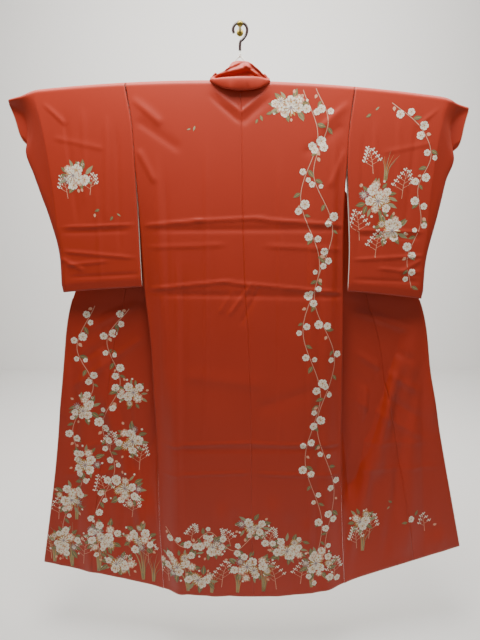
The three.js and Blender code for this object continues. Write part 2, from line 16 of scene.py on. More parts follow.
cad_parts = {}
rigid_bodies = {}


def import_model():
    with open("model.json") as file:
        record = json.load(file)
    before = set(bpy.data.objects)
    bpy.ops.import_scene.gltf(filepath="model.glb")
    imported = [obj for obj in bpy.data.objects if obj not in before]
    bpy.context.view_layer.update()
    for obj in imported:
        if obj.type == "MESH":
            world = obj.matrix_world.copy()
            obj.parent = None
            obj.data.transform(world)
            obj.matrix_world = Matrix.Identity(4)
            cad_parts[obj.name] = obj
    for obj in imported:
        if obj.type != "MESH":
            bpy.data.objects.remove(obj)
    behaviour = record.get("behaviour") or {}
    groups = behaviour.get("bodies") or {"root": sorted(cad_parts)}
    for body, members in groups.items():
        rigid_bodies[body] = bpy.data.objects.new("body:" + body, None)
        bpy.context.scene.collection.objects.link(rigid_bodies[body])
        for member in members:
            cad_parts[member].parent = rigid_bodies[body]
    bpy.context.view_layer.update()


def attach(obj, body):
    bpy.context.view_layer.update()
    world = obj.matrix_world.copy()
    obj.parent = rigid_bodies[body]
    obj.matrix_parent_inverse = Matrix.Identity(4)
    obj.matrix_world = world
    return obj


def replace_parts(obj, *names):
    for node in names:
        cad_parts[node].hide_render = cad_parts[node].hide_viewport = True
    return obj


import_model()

log = logging.getLogger("kimono")

MM = 0.001
ROOT = "root"
STEPS = 96
UV_PLACE, OBJECT_PLACE = 2, 3


# ---------------------------------------------------------------- tables and small maths
class Table:
    """A table with named columns, read smoothly between its rows."""

    def __init__(self, columns: str, rows: Sequence[Sequence[float]]) -> None:
        """Stores the columns.

        Args:
            columns: the column names, the first of them the key that rises from row to row.
            rows: the numbers, a row for each place.
        """
        names = columns.split()
        self.columns = {name: np.array([row[i] for row in rows], float) for i, name in enumerate(names)}
        self.key = self.columns[names[0]]

    def read(self, place: np.ndarray | float, column: str) -> np.ndarray:
        """Reads a column.

        Args:
            place: where along the key.
            column: the column's name.

        Returns:
            The column's smooth value at each place.
        """
        key, value = self.key, self.columns[column]
        at = np.clip(place, key[0], key[-1])
        row = np.clip(np.searchsorted(key, at, side="left") - 1, 0, len(key) - 2)
        low = np.maximum(np.arange(len(key)) - 1, 0)
        high = np.minimum(np.arange(len(key)) + 1, len(key) - 1)
        slope = (value[high] - value[low]) / (key[high] - key[low])
        step = key[row + 1] - key[row]
        t = (at - key[row]) / step
        return (
            (2 * t**3 - 3 * t**2 + 1) * value[row]
            + (t**3 - 2 * t**2 + t) * step * slope[row]
            + (3 * t**2 - 2 * t**3) * value[row + 1]
            + (t**3 - t**2) * step * slope[row + 1]
        )


def smooth(share: np.ndarray | float) -> np.ndarray:
    """Eases a share, clipped to 0 and 1, from 0 to 1."""
    t = np.clip(share, 0, 1)
    return t * t * (3 - 2 * t)


def mix(a: np.ndarray | float, b: np.ndarray | float, share: np.ndarray | float) -> np.ndarray:
    """Goes from a to b by a share of the way."""
    return a + (b - a) * share


def spaced(start: float, *runs: tuple[float, int]) -> np.ndarray:
    """Joins runs of evenly spaced places.

    Args:
        start: the first place.
        runs: the end of each run and the number of its steps.

    Returns:
        The places, both ends among them.
    """
    parts = []
    for end, steps in runs:
        parts.append(np.linspace(start, end, steps, endpoint=False))
        start = end
    return np.append(np.concatenate(parts), start)


def between(p: Sequence[np.ndarray], t: np.ndarray) -> np.ndarray:
    """Runs smoothly from the second of four points to the third.

    Args:
        p: the four points.
        t: how far along, from 0 to 1.

    Returns:
        The points there.
    """
    return 0.5 * (
        2 * p[1] + (p[2] - p[0]) * t + (2 * p[0] - 5 * p[1] + 4 * p[2] - p[3]) * t**2
        + (3 * p[1] - p[0] - 3 * p[2] + p[3]) * t**3
    )


class Side(Enum):
    """The viewer's left or right."""

    LEFT = -1
    RIGHT = 1

    @property
    def word(self) -> str:
        """The side's name in piece names."""
        return self.name.lower()


# ---------------------------------------------------------------- how the kimono hangs, in mm
ROD_HALF, ROD_Y, ROD_Z, ROD_SAG, ROD_TILT = 566, -45, -157, 32.5, 9.4
OVER_ROD = 12.5
QUARTER = OVER_ROD * math.pi / 2
CUFF_DROOP = 0.16
LENGTH, NECK_HALF, NECK_DROP, SHOULDER_HALF = 1575, 88, 36, 324
FRONT_WIDTH, OVERLAP_WIDTH, OVERLAP_TOP, COLLAR_END = 245, 162, 230, 710
OVER_SHOULDER = 24
FOLDS_STOP, CREASES_STOP = -4, -3
SLEEVE_WIDTH, SLEEVE_LENGTH, ARMHOLE, SIDE_SEAM, CUFF = 340, 568, 230, 380, 230
CLOTH, COLLAR_CLOTH, SEAM, SHOULDER_GAP = 1.4, 2.6, 0.3, 0.9
ROUNDING = 0.22
HEM_LEFT, HEM_MIDDLE, HEM_RIGHT = -1722, -1733, -1703

BACK = Table(
    "down left middle right side_y middle_y",
    [
        (0, -324, 0, 324, -57.5, -57.5), (120, -308, 4, 312, -57.5, -58), (230, -303, 6, 308, -57, -59),
        (380, -296, 8, 305, -52, -61), (590, -288, 15, 311, -48, -64), (760, -274, 26, 315, -46, -67),
        (920, -269, 32, 318, -46, -70), (1100, -262, 35, 321, -48, -74), (1350, -261, 37, 330, -54, -80),
        (1575, -252, 45, 344, -62, -86),
    ],
)
EDGES = Table(
    "down y left_x left_z right_x right_z",
    [
        (0, -12, -88, -144.5, 88, -144.5), (20, -12, -98, -161, 98, -161),
        (110, -12, -153, -235, 158, -235), (230, -12, -225, -338, 235, -338),
        (470, -11, -369, -545, 392, -545), (710, -11, -514, -757, 552, -762),
        (1000, -15, -564, -1052, 609, -1038), (1300, -20, -606, -1356, 668, -1310),
        (1575, -26, -655, -1651, 731, -1594),
    ],
)
FRONT_TURN = Table(
    "down turn bend",
    [(0, 180, 38), (560, 178, 44), (760, 150, 70), (1000, 112, 96), (1250, 78, 130), (1575, 24, 150)],
)
SLEEVES = Table(
    "down bend left_inner left_fold left_turn right_inner right_fold right_turn",
    [
        (0, 30, 324, 588, 14, 324, 580, 24), (50, 40, 316, 573, 36, 318, 562, 42),
        (100, 46, 309, 577, 58, 313, 574, 58), (150, 46, 306, 593, 96, 310, 594, 96),
        (215, 50, 304, 577, 140, 310, 577, 140), (275, 56, 302, 558, 160, 314, 564, 160),
        (345, 56, 300, 537, 170, 319, 551, 170), (455, 46, 297, 517, 175, 325, 534, 175),
        (568, 42, 294, 517, 176, 324, 532, 176),
    ],
)
SLEEVE_HANG = Table(
    "down y gap outer_gap nearest",
    [(0, -45, 25, 12, -14), (230, -45.5, 24, 11, -16), (380, -49, 15, 10, -23), (568, -53, 9, 9, -25)],
)
CLOSED_GAP, CLOSING = CLOTH + 0.8, 20
NECK_COLLAR = Table(
    "x fold_y fold_z crease_y crease_z inner_y inner_z top_y top_z",
    [
        (-83, -59.5, -147.5, -60, -143.5, -54, -141, -50, -136.5),
        (-70, -66, -156.5, -67, -146, -57, -143, -52, -134),
        (-50, -70, -166, -72, -145.5, -57, -142, -54, -127),
        (-32, -72, -171, -74.5, -145, -56, -140, -55, -115),
        (-22, -72.5, -172.5, -75, -144.5, -55, -139, -56, -100),
        (0, -73, -173.5, -76, -144, -54, -138, -57, -96), (24, -73, -173, -75, -144, -55, -138, -58, -99),
        (36, -72, -172, -74, -144, -58, -139, -60, -108),
        (52, -70, -168.5, -71, -144.5, -59, -140, -58, -120),
        (70, -65.5, -159, -66.5, -147, -57, -143.5, -53, -135),
        (83, -59.5, -150.5, -60, -146.5, -54, -143.5, -50, -139),
    ],
)
FRONT_COLLAR = Table(
    "down seam_in seam_up seam_back inwards up back",
    [
        (0, 3, 2, 0, 12, 16, 0), (10, 4, 3, 4, 22, 26, 2), (24, 4, 2, 6, 38, 26, 3),
        (60, 1, 0, 4, 50, 16, 2), (110, 0, 0, 3, 54, -4, 1), (180, 0, 0, 3, 48, -26, 0),
        (710, 0, 0, 3, 44, -33, 0),
    ],
)


class Folds:
    """Soft ridges and troughs along lines of the hanging cloth, as seen from the front."""

    def __init__(
        self, rows: Sequence[Sequence[float]], ends: tuple[float, float] = (0.25, 0.15), lip: float = 1.0
    ) -> None:
        """Stores the lines.

        Args:
            rows: x0, z0, x1, z1, width and height of each, in mm; a trough's height is below 0.
            ends: the shares of a line over which its two ends fade.
            lip: how much steeper the cloth is below a line that runs to the right.
        """
        self.rows = rows
        self.ends = ends
        self.lip = lip

    def height(self, x: np.ndarray, z: np.ndarray) -> np.ndarray:
        """Finds how far the cloth is lifted.

        Args:
            x: places across, in mm.
            z: heights, in mm.

        Returns:
            The lift towards the viewer, in mm.
        """
        lift = np.zeros_like(x)
        for x0, z0, x1, z1, width, height in self.rows:
            run_x, run_z = x1 - x0, z1 - z0
            long = math.hypot(run_x, run_z)
            along = ((x - x0) * run_x + (z - z0) * run_z) / long**2
            beside = ((x - x0) * run_z - (z - z0) * run_x) / long
            beside = np.where(beside > 0, beside / self.lip, beside)
            reach = smooth(along / self.ends[0]) * smooth((1 + self.ends[1] * 2 / 3 - along) / self.ends[1])
            lift += height * reach * np.exp(-((beside / width) ** 2))
        return lift


LARGE_FOLDS = Folds(
    [
        (-470, -800, -232, -1640, 44, 15), (-430, -760, -296, -1420, 34, -12),
        (-500, -800, -500, -1640, 26, 9), (-560, -1100, -590, -1640, 30, -7),
        (520, -780, 342, -1400, 30, -15), (500, -800, 452, -1320, 22, 12), (535, -800, 560, -1560, 26, 10),
        (620, -1100, 652, -1540, 34, -8), (-205, -900, -205, -1700, 30, 6),
        (240, -1000, 262, -1690, 40, -6),
    ]
)
# Creases of the silk: x0, z0, x1, z1, width, height.
BACK_CREASES = Folds(
    [
        (-92, -158, -3, -228, 5, 3.8), (92, -160, 5, -230, 5, 3.6), (-96, -176, -6, -252, 12, -2.6),
        (96, -178, 8, -256, 12, -2.5), (-60, -196, 0, -246, 9, 1.6), (-290, -549, -120, -534, 5, 3.2),
        (-150, -535, 60, -526, 5, 2.8), (30, -528, 305, -548, 5, 3.4), (-288, -561, 300, -558, 10, -2.4),
        (-284, -612, -60, -604, 7, 1.6), (60, -606, 302, -618, 8, 1.7), (-280, -735, -40, -711, 5, 3.2),
        (-70, -711, 306, -746, 5, 3.1), (-276, -750, 300, -757, 11, -2.5), (36, -714, -30, -806, 6, 3.0),
        (62, -720, 4, -832, 8, -2.2), (-20, -736, -60, -800, 8, 1.6), (-262, -1224, 40, -1214, 5, 2.6),
        (10, -1216, 318, -1226, 5, 2.4), (-258, -1236, 312, -1236, 10, -1.6),
        (-262, -1322, 20, -1312, 5, 2.2), (30, -1314, 326, -1326, 5, 2.5),
        (-186, -600, -196, -1500, 9, 2.4), (-170, -640, -178, -1400, 13, -2.2),
        (-98, -260, -104, -1180, 10, 1.4), (112, -300, 124, -1250, 11, 1.5),
        (205, -420, 224, -1560, 12, 2.2), (232, -500, 250, -1640, 14, -2.6),
        (-240, -330, -236, -1100, 12, 1.8), (-216, -380, -214, -1000, 10, -1.5),
        (268, -260, 276, -900, 11, 1.9), (286, -300, 290, -760, 9, -1.6), (-60, -1400, -86, -1730, 22, 4.0),
        (-20, -1420, -34, -1730, 20, -3.2), (96, -1380, 120, -1720, 24, 3.8),
        (150, -1440, 176, -1715, 20, -3.0), (-150, -1480, -170, -1728, 20, -3.2),
        (206, -1460, 232, -1712, 18, 3.0), (-296, -330, -250, -420, 11, 2.4),
        (304, -330, 262, -430, 11, 2.3), (-310, -190, -230, -260, 13, 2.4), (312, -200, 236, -268, 13, 2.3),
        (-300, -250, -180, -330, 16, -1.8), (300, -260, 190, -340, 16, -1.8),
        (-180, -1000, 60, -1030, 26, 1.8), (240, -1040, 60, -1100, 24, -1.8),
    ],
    (0.18, 0.2),
    0.6,
)
FRONT_CREASES = Folds(
    [
        (-470, -980, -296, -1620, 20, 8.0), (-436, -900, -340, -1340, 17, -7.0),
        (-552, -900, -596, -1640, 18, 5.5), (-400, -1180, -386, -1660, 16, -5.0),
        (540, -850, 352, -1620, 20, 8.5), (500, -850, 346, -1420, 17, -7.5),
        (566, -960, 486, -1580, 17, -6.0), (610, -980, 668, -1560, 18, 5.5),
        (-300, -770, -470, -860, 12, 4.1), (-300, -830, -500, -960, 12, -3.2),
        (-290, -880, -520, -1040, 11, 3.0), (-420, -900, -402, -1500, 12, 3.5),
        (-448, -960, -430, -1560, 13, -3.2), (-340, -1000, -322, -1600, 14, 3.8),
        (-362, -1060, -350, -1640, 12, -3.2), (-540, -900, -566, -1500, 12, 3.0),
        (-520, -1000, -540, -1620, 11, -2.7), (-300, -1230, -500, -1246, 8, 1.9),
        (-320, -1336, -560, -1344, 8, 1.9), (-480, -1300, -500, -1660, 14, 3.5),
        (340, -800, 520, -862, 12, 4.3), (345, -860, 540, -960, 12, -3.5), (350, -930, 560, -1060, 12, 3.5),
        (350, -1010, 572, -1150, 13, -3.0), (356, -1090, 590, -1216, 12, 2.7),
        (398, -1000, 420, -1500, 14, 3.8), (372, -1080, 388, -1540, 12, -3.5),
        (470, -1000, 500, -1540, 14, 3.2), (596, -950, 640, -1500, 12, 3.0),
        (576, -1000, 612, -1560, 12, -3.0), (360, -1240, 600, -1234, 8, 1.8),
        (360, -1330, 630, -1316, 8, 1.8), (520, -1300, 548, -1600, 15, 3.2),
    ],
    (0.2, 0.2),
)
SLEEVE_CREASES = Folds(
    [
        (-532, -553, -326, -546, 4, 2.6), (-530, -568, -340, -562, 9, -1.8),
        (-534, -622, -330, -640, 5, 2.4), (-530, -664, -400, -652, 5, 2.0),
        (-520, -700, -316, -690, 6, -1.8), (-540, -640, -470, -676, 7, 2.2),
        (-380, -230, -394, -520, 9, 1.4), (-352, -260, -356, -600, 8, -1.2),
        (-446, -210, -452, -470, 10, 1.3), (-500, -220, -478, -520, 10, -1.5),
        (-420, -430, -416, -700, 8, 1.2), (-560, -205, -500, -262, 8, 1.6),
        (-540, -300, -400, -330, 8, 1.0), (330, -560, 524, -566, 4, 2.6), (336, -576, 520, -584, 9, -1.8),
        (326, -648, 530, -636, 5, 2.4), (400, -672, 532, -684, 5, 2.0), (330, -706, 524, -712, 6, -1.8),
        (470, -690, 534, -650, 7, 2.2), (384, -240, 392, -530, 9, 1.4), (352, -270, 350, -600, 8, -1.2),
        (450, -224, 460, -480, 10, 1.3), (504, -236, 486, -520, 10, -1.5), (424, -440, 430, -700, 8, 1.2),
        (500, -276, 562, -222, 8, 1.6), (404, -344, 540, -318, 8, 1.0),
    ],
    (0.2, 0.2),
    0.6,
)
# The sleeve's outer strip, turned towards the wall beside a fold: height, the fold's place, and how steeply.
SLEEVE_STRIPS = {
    Side.LEFT: Table(
        "z fold slope",
        [
            (-620, 532, 0), (-560, 534, 0.3), (-450, 541, 0.5), (-333, 553, 0.52), (-250, 566, 0.45),
            (-190, 580, 0),
        ],
    ),
    Side.RIGHT: Table(
        "z fold slope",
        [
            (-640, 548, 0), (-580, 548, 0.2), (-460, 552, 0.36), (-340, 562, 0.4), (-260, 572, 0.34),
            (-200, 584, 0),
        ],
    ),
}


def rod_height(x: np.ndarray) -> np.ndarray:
    """Finds the rod's axis.

    Args:
        x: places across, in mm.

    Returns:
        The axis's height; past the rod's end, that of the drooping cloth.
    """
    held = np.clip(x / ROD_HALF, -1, 1)
    past = np.maximum(np.abs(x) - ROD_HALF, 0)
    return ROD_Z - ROD_SAG * held**2 - ROD_TILT * held - CUFF_DROOP * past


def neckline(x: np.ndarray) -> np.ndarray:
    """Finds how far the back neckline is below the shoulder at places across, in mm."""
    inside = np.clip(1 - (x / NECK_HALF) ** 2, 0, 1)
    return NECK_DROP * np.sqrt(inside)


# ---------------------------------------------------------------- shader and geometry nodes
class Value:
    """A node's output that takes part in sums."""

    def __init__(self, tree: "Tree", socket: bpy.types.NodeSocket) -> None:
        """Holds the output.

        Args:
            tree: the tree it belongs to.
            socket: the output.
        """
        self.tree = tree
        self.socket = socket

    def _sum(self, kind: str, other: object) -> "Value":
        """Adds a Math node of this kind."""
        return self.tree.node("ShaderNodeMath", {0: self, 1: other}, operation=kind)[0]

    def __add__(self, other: object) -> "Value":
        """Adds."""
        return self._sum("ADD", other)

    def __sub__(self, other: object) -> "Value":
        """Takes away."""
        return self._sum("SUBTRACT", other)

    def __mul__(self, other: object) -> "Value":
        """Multiplies."""
        return self._sum("MULTIPLY", other)

    def __rsub__(self, other: float) -> "Value":
        """Takes this away from a number."""
        return self * -1.0 + other

    __radd__ = __add__
    __rmul__ = __mul__


class Tree:
    """A node tree that is built up by calls."""

    def __init__(self, tree: bpy.types.NodeTree) -> None:
        """Empties the tree.

        Args:
            tree: the tree to build in.
        """
        self.tree = tree
        tree.nodes.clear()

    def node(self, kind: str, inputs: dict | None = None, **options: object) -> list[Value]:
        """Adds a node.

        Args:
            kind: the node's type.
            inputs: values or outputs, by input name, number or identifier.
            options: the node's own settings.

        Returns:
            The node's outputs.
        """
        node = self.tree.nodes.new(kind)
        for name, value in options.items():
            setattr(node, name, value)
        for key, value in (inputs or {}).items():
            socket = node.inputs[key]
            if isinstance(value, Value):
                self.tree.links.new(value.socket, socket)
            else:
                socket.default_value = value
        return [Value(self, socket) for socket in node.outputs]


@dataclass(frozen=True)
class Finish:
    """A plain finish, the same all over.

    Attributes:
        name: the material's name.
        colour: its linear colour.
        roughness: from 0, glossy, to 1, matt.
        metallic: 1 for bare metal.
        sheen: how much cloth fuzz catches the light.
        shine: how much its surface mirrors.
    """

    name: str
    colour: tuple[float, float, float]
    roughness: float = 0.6
    metallic: float = 0.0
    sheen: float = 0.0
    shine: float = 0.5

    def make(self) -> bpy.types.Material:
        """Builds the material, once.

        Returns:
            The material.
        """
        known = bpy.data.materials.get(self.name)
        if known:
            return known
        material = bpy.data.materials.new(self.name)
        material.use_nodes = True
        tree = Tree(material.node_tree)
        inputs = {
            "Base Color": (*self.colour, 1),
            "Roughness": self.roughness,
            "Metallic": self.metallic,
            "Sheen Weight": self.sheen,
            "Specular IOR Level": self.shine,
            "Sheen Roughness": 0.4,
            "Sheen Tint": (1.0, 0.55, 0.4, 1),
        }
        inputs.update(self.varied(tree))
        shader = tree.node("ShaderNodeBsdfPrincipled", inputs)[0]
        tree.node("ShaderNodeOutputMaterial", {"Surface": shader})
        return material

    def varied(self, tree: Tree) -> dict[str, Value]:
        """Adds what changes over the surface, as outputs for the shader's inputs: here nothing."""
        return {}

    def toned(self, tree: Tree, tone: Value) -> Value:
        """Adds a node that makes the colour lighter or darker by a tone."""
        return tree.node("ShaderNodeHueSaturation", {"Color": (*self.colour, 1), "Value": tone})[0]

    @staticmethod
    def noise(tree: Tree, place: Value, scale: float, detail: float) -> Value:
        """Adds soft noise over a place."""
        return tree.node("ShaderNodeTexNoise", {"Vector": place, "Scale": scale, "Detail": detail})[0]


@dataclass(frozen=True)
class CrepeSilk(Finish):
    """Dyed silk crepe: fine uneven grain, faint weft bars and slow changes of tone."""

    grain: float = 900.0
    depth: float = 0.12

    def varied(self, tree: Tree) -> dict[str, Value]:
        """Adds tone, gloss and grain.

        Args:
            tree: the material's tree.

        Returns:
            Outputs for colour, roughness and normal.
        """
        place = tree.node("ShaderNodeTexCoord")[UV_PLACE]
        slow = self.noise(tree, place, 3.0, 3.0)
        scale = (self.grain * 0.35, self.grain, 1)
        weave = tree.node("ShaderNodeMapping", {"Vector": place, "Scale": scale})[0]
        fine = self.noise(tree, weave, 1.0, 2.0)
        hue = self.toned(tree, slow * 0.22 + fine * 0.12 + 0.83)
        bump = tree.node("ShaderNodeBump", {"Height": fine, "Strength": self.depth, "Distance": 0.0006})[0]
        return {"Base Color": hue, "Roughness": fine * 0.12 + (self.roughness - 0.06), "Normal": bump}


@dataclass(frozen=True)
class GrainedWood(Finish):
    """Stained wood with its grain along the rod."""

    def varied(self, tree: Tree) -> dict[str, Value]:
        """Adds the grain.

        Args:
            tree: the material's tree.

        Returns:
            Outputs for colour and roughness.
        """
        place = tree.node("ShaderNodeTexCoord")[OBJECT_PLACE]
        stretched = tree.node("ShaderNodeMapping", {"Vector": place, "Scale": (8, 260, 260)})[0]
        grain = self.noise(tree, stretched, 1.0, 4.0)
        hue = self.toned(tree, grain * 0.9 + 0.55)
        return {"Base Color": hue, "Roughness": grain * 0.2 + (self.roughness - 0.1)}


@dataclass(frozen=True)
class WornMetal(Finish):
    """Handled metal or lacquer: slow patches of tone and gloss."""

    def varied(self, tree: Tree) -> dict[str, Value]:
        """Adds the patches.

        Args:
            tree: the material's tree.

        Returns:
            Outputs for colour and roughness.
        """
        place = tree.node("ShaderNodeTexCoord")[OBJECT_PLACE]
        patch = self.noise(tree, place, 90.0, 4.0)
        hue = self.toned(tree, patch * 0.5 + 0.75)
        return {"Base Color": hue, "Roughness": patch * 0.25 + (self.roughness - 0.12)}


SILK = CrepeSilk("silk_outside", (0.4, 0.032, 0.012), 0.46, sheen=0.06, shine=0.36)
LINING = CrepeSilk("silk_lining", (0.78, 0.72, 0.64), 0.55, sheen=0.1, depth=0.05)
EDGE = Finish("edge_roll", (0.62, 0.3, 0.2), 0.6)
COTTON = Finish("cord_cotton", (0.86, 0.83, 0.76), 0.85)
WOOD = GrainedWood("rod_wood", (0.1, 0.04, 0.02), 0.45)
LACQUER = WornMetal("hook_lacquer", (0.03, 0.009, 0.009), 0.3)
BRASS = WornMetal("hook_brass", (0.36, 0.26, 0.07), 0.36, 1.0)


class Dye(Enum):
    """The painted colours, each with its finish."""

    CREAM = Finish("paint_cream", (0.86, 0.8, 0.66), 0.7)
    PEACH = Finish("paint_peach", (0.72, 0.38, 0.24), 0.7)
    VINE = Finish("paint_vine", (0.6, 0.32, 0.22), 0.7)
    LEAF = Finish("paint_leaf", (0.16, 0.16, 0.075), 0.7)
    MOSS = Finish("paint_moss", (0.3, 0.28, 0.15), 0.7)
    OCHRE = Finish("paint_ochre", (0.52, 0.3, 0.09), 0.65)
    MAUVE = Finish("paint_mauve", (0.3, 0.25, 0.25), 0.7)


# ---------------------------------------------------------------- pieces
Faces = list[list[int]]
Flat = tuple[np.ndarray, Faces]


def placed(name: str, data: bpy.types.ID) -> bpy.types.Object:
    """Makes an object of some data and puts it in the scene."""
    thing = bpy.data.objects.new(name, data)
    bpy.context.scene.collection.objects.link(thing)
    return thing


def finished(name: str, verts: np.ndarray, faces: Faces, *finishes: Finish) -> bpy.types.Object:
    """Makes a piece that rides on the one body.

    Args:
        name: the piece's name.
        verts: its points, in metres.
        faces: its faces.
        finishes: its finishes.

    Returns:
        The piece.
    """
    mesh = bpy.data.meshes.new(name)
    mesh.from_pydata([tuple(p) for p in verts.tolist()], [], faces)
    for finish in finishes:
        mesh.materials.append(finish.make())
    piece = placed(name, mesh)
    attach(piece, ROOT)
    return piece


def joined(parts: Iterable[Flat]) -> Flat:
    """Puts shapes together.

    Args:
        parts: the points and faces of each.

    Returns:
        Points and faces of them all.
    """
    verts, faces, base = [], [], 0
    for points, cells in parts:
        verts.append(points)
        faces += [[base + i for i in cell] for cell in cells]
        base += len(points)
    return np.concatenate(verts), faces


def tubes(name: str, parts: Iterable[Flat], finish: Finish, slot: str) -> bpy.types.Object:
    """Makes one piece of several tubes, smooth round them and flat at their ends.

    Args:
        name: the piece's name.
        parts: the tubes, in mm.
        finish: its finish.
        slot: the name of a material slot; not used.

    Returns:
        The piece.
    """
    verts, faces = joined(parts)
    piece = finished(name, verts * MM, faces, finish)
    for face in piece.data.polygons:
        face.use_smooth = len(face.vertices) == 4
    log.info("%s: %d faces", name, len(faces))
    return piece


def tube(line: np.ndarray, radius: float, sides: int = 8) -> Flat:
    """Makes a round tube.

    Args:
        line: its middle points.
        radius: its radius, in the same unit.
        sides: faces round it.

    Returns:
        Its points and faces.
    """
    run = np.gradient(line, axis=0)
    run /= np.linalg.norm(run, axis=1)[:, None]
    up = np.where(np.abs(run[:, 1:2]) < 0.9, [[0.0, 1.0, 0.0]], [[1.0, 0.0, 0.0]])
    across = np.cross(up, run)
    across /= np.linalg.norm(across, axis=1)[:, None]
    over = np.cross(run, across)
    angle = np.arange(sides) * 2 * math.pi / sides
    ring = np.cos(angle)[None, :, None] * across[:, None] + np.sin(angle)[None, :, None] * over[:, None]
    verts = (line[:, None] + radius * ring).reshape(-1, 3)
    faces = []
    for i in range(len(line) - 1):
        for k in range(sides):
            n = (k + 1) % sides
            faces.append([i * sides + k, i * sides + n, (i + 1) * sides + n, (i + 1) * sides + k])
    faces.append(list(range(sides - 1, -1, -1)))
    faces.append([(len(line) - 1) * sides + k for k in range(sides)])
    return verts, faces


@dataclass
class Panel:
    """A panel of lined silk: a fine wall of cloth with its creases.

    Attributes:
        name: the piece's name, that of the CAD node it stands for with _silk after it.
        side: which side of the kimono.
        across: how many cells across.
        along: how many cells down.
        cut: width and length before it was hung, in metres, and its area's share of their product; not used.
        thickness: of the cloth, in mm.
        outside: 1 where the grid's own normals point out of the cloth's outer face, -1 where they don't.
        piece: the finished piece, once it is built.
        edges: the lines along its four edges, in mm, once it is built.
    """

    name: str
    side: Side
    across: int
    along: int
    cut: tuple[float, float, float]
    thickness: float = CLOTH
    outside: int = 1
    piece: bpy.types.Object | None = field(default=None, init=False)
    edges: dict[str, np.ndarray] = field(default_factory=dict, init=False)

    def shares(self) -> tuple[np.ndarray, np.ndarray]:
        """Places of the grid's lines, across and down, in the panel's own sizes."""
        raise NotImplementedError

    def middle(self, u: np.ndarray, v: np.ndarray) -> np.ndarray:
        """Finds the middle of the cloth, in mm, at places across and down."""
        raise NotImplementedError

    def build(self) -> None:
        """Builds the piece, an outer and an inner face of cloth with closed rims, and keeps its edges."""
        us, vs = self.shares()
        points = self.middle(*np.meshgrid(us, vs, indexing="ij"))
        normal = np.cross(np.gradient(points, axis=0), np.gradient(points, axis=1))
        normal *= self.outside / np.linalg.norm(normal, axis=2)[..., None]
        half = self.thickness / 2
        verts = np.stack([points + normal * half, points - normal * half]).reshape(-1, 3) * MM
        cells, faces = self.cells(*points.shape[:2])
        self.piece = finished(self.name + "_silk", verts, faces.tolist(), SILK, LINING)
        kind = np.arange(len(faces)) // cells
        mesh = self.piece.data
        mesh.polygons.foreach_set("material_index", (kind == 1).astype(int))
        mesh.polygons.foreach_set("use_smooth", np.ones(len(faces), bool))
        mesh.attributes.new("sharp_face", "BOOLEAN", "FACE").data.foreach_set("value", kind > 1)
        self.unroll(mesh, points)
        self.edges = {
            "start": points[0], "end": points[-1], "top": points[:, 0], "bottom": points[:, -1],
        }
        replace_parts(self.piece, self.name)
        width, length, share = self.cut
        log.info("%s: %d faces", self.piece.name, len(faces))

    def cells(self, nu: int, nv: int) -> tuple[int, np.ndarray]:
        """Numbers the faces of a closed wall.

        Args:
            nu: how many lines across.
            nv: how many lines down.

        Returns:
            How many faces each side has, and the faces: the outer side's, the inner side's, the rims'.
        """
        outer = np.arange(nu * nv).reshape(nu, nv)
        a, b, c, d = outer[:-1, :-1], outer[1:, :-1], outer[1:, 1:], outer[:-1, 1:]
        front = np.stack([a, b, c, d], -1).reshape(-1, 4)
        back = np.stack([a, d, c, b], -1).reshape(-1, 4) + nu * nv
        rims = []
        for line in (outer[:, 0], outer[::-1, -1], outer[0, ::-1], outer[-1, :]):
            far = line + nu * nv
            rims.append(np.stack([line[:-1], far[:-1], far[1:], line[1:]], -1))
        return len(front), np.concatenate([front, back, *rims])[:, :: self.outside]

    @staticmethod
    def unroll(mesh: bpy.types.Mesh, points: np.ndarray) -> None:
        """Gives the cloth its own map, in metres along it.

        Args:
            mesh: the piece's mesh.
            points: the middle of the cloth, in mm.
        """
        flat = np.zeros((*points.shape[:2], 2))
        for axis in (0, 1):
            step = np.linalg.norm(np.diff(points, axis=axis), axis=2).mean(1 - axis)
            far = np.append(0, np.cumsum(step)) * MM
            flat[..., axis] = far[:, None] if axis == 0 else far
        loops = np.empty(len(mesh.loops), int)
        mesh.loops.foreach_get("vertex_index", loops)
        flat = flat.reshape(-1, 2)
        uv = mesh.uv_layers.new(name="Cloth")
        uv.data.foreach_set("uv", flat[loops % len(flat)].ravel())


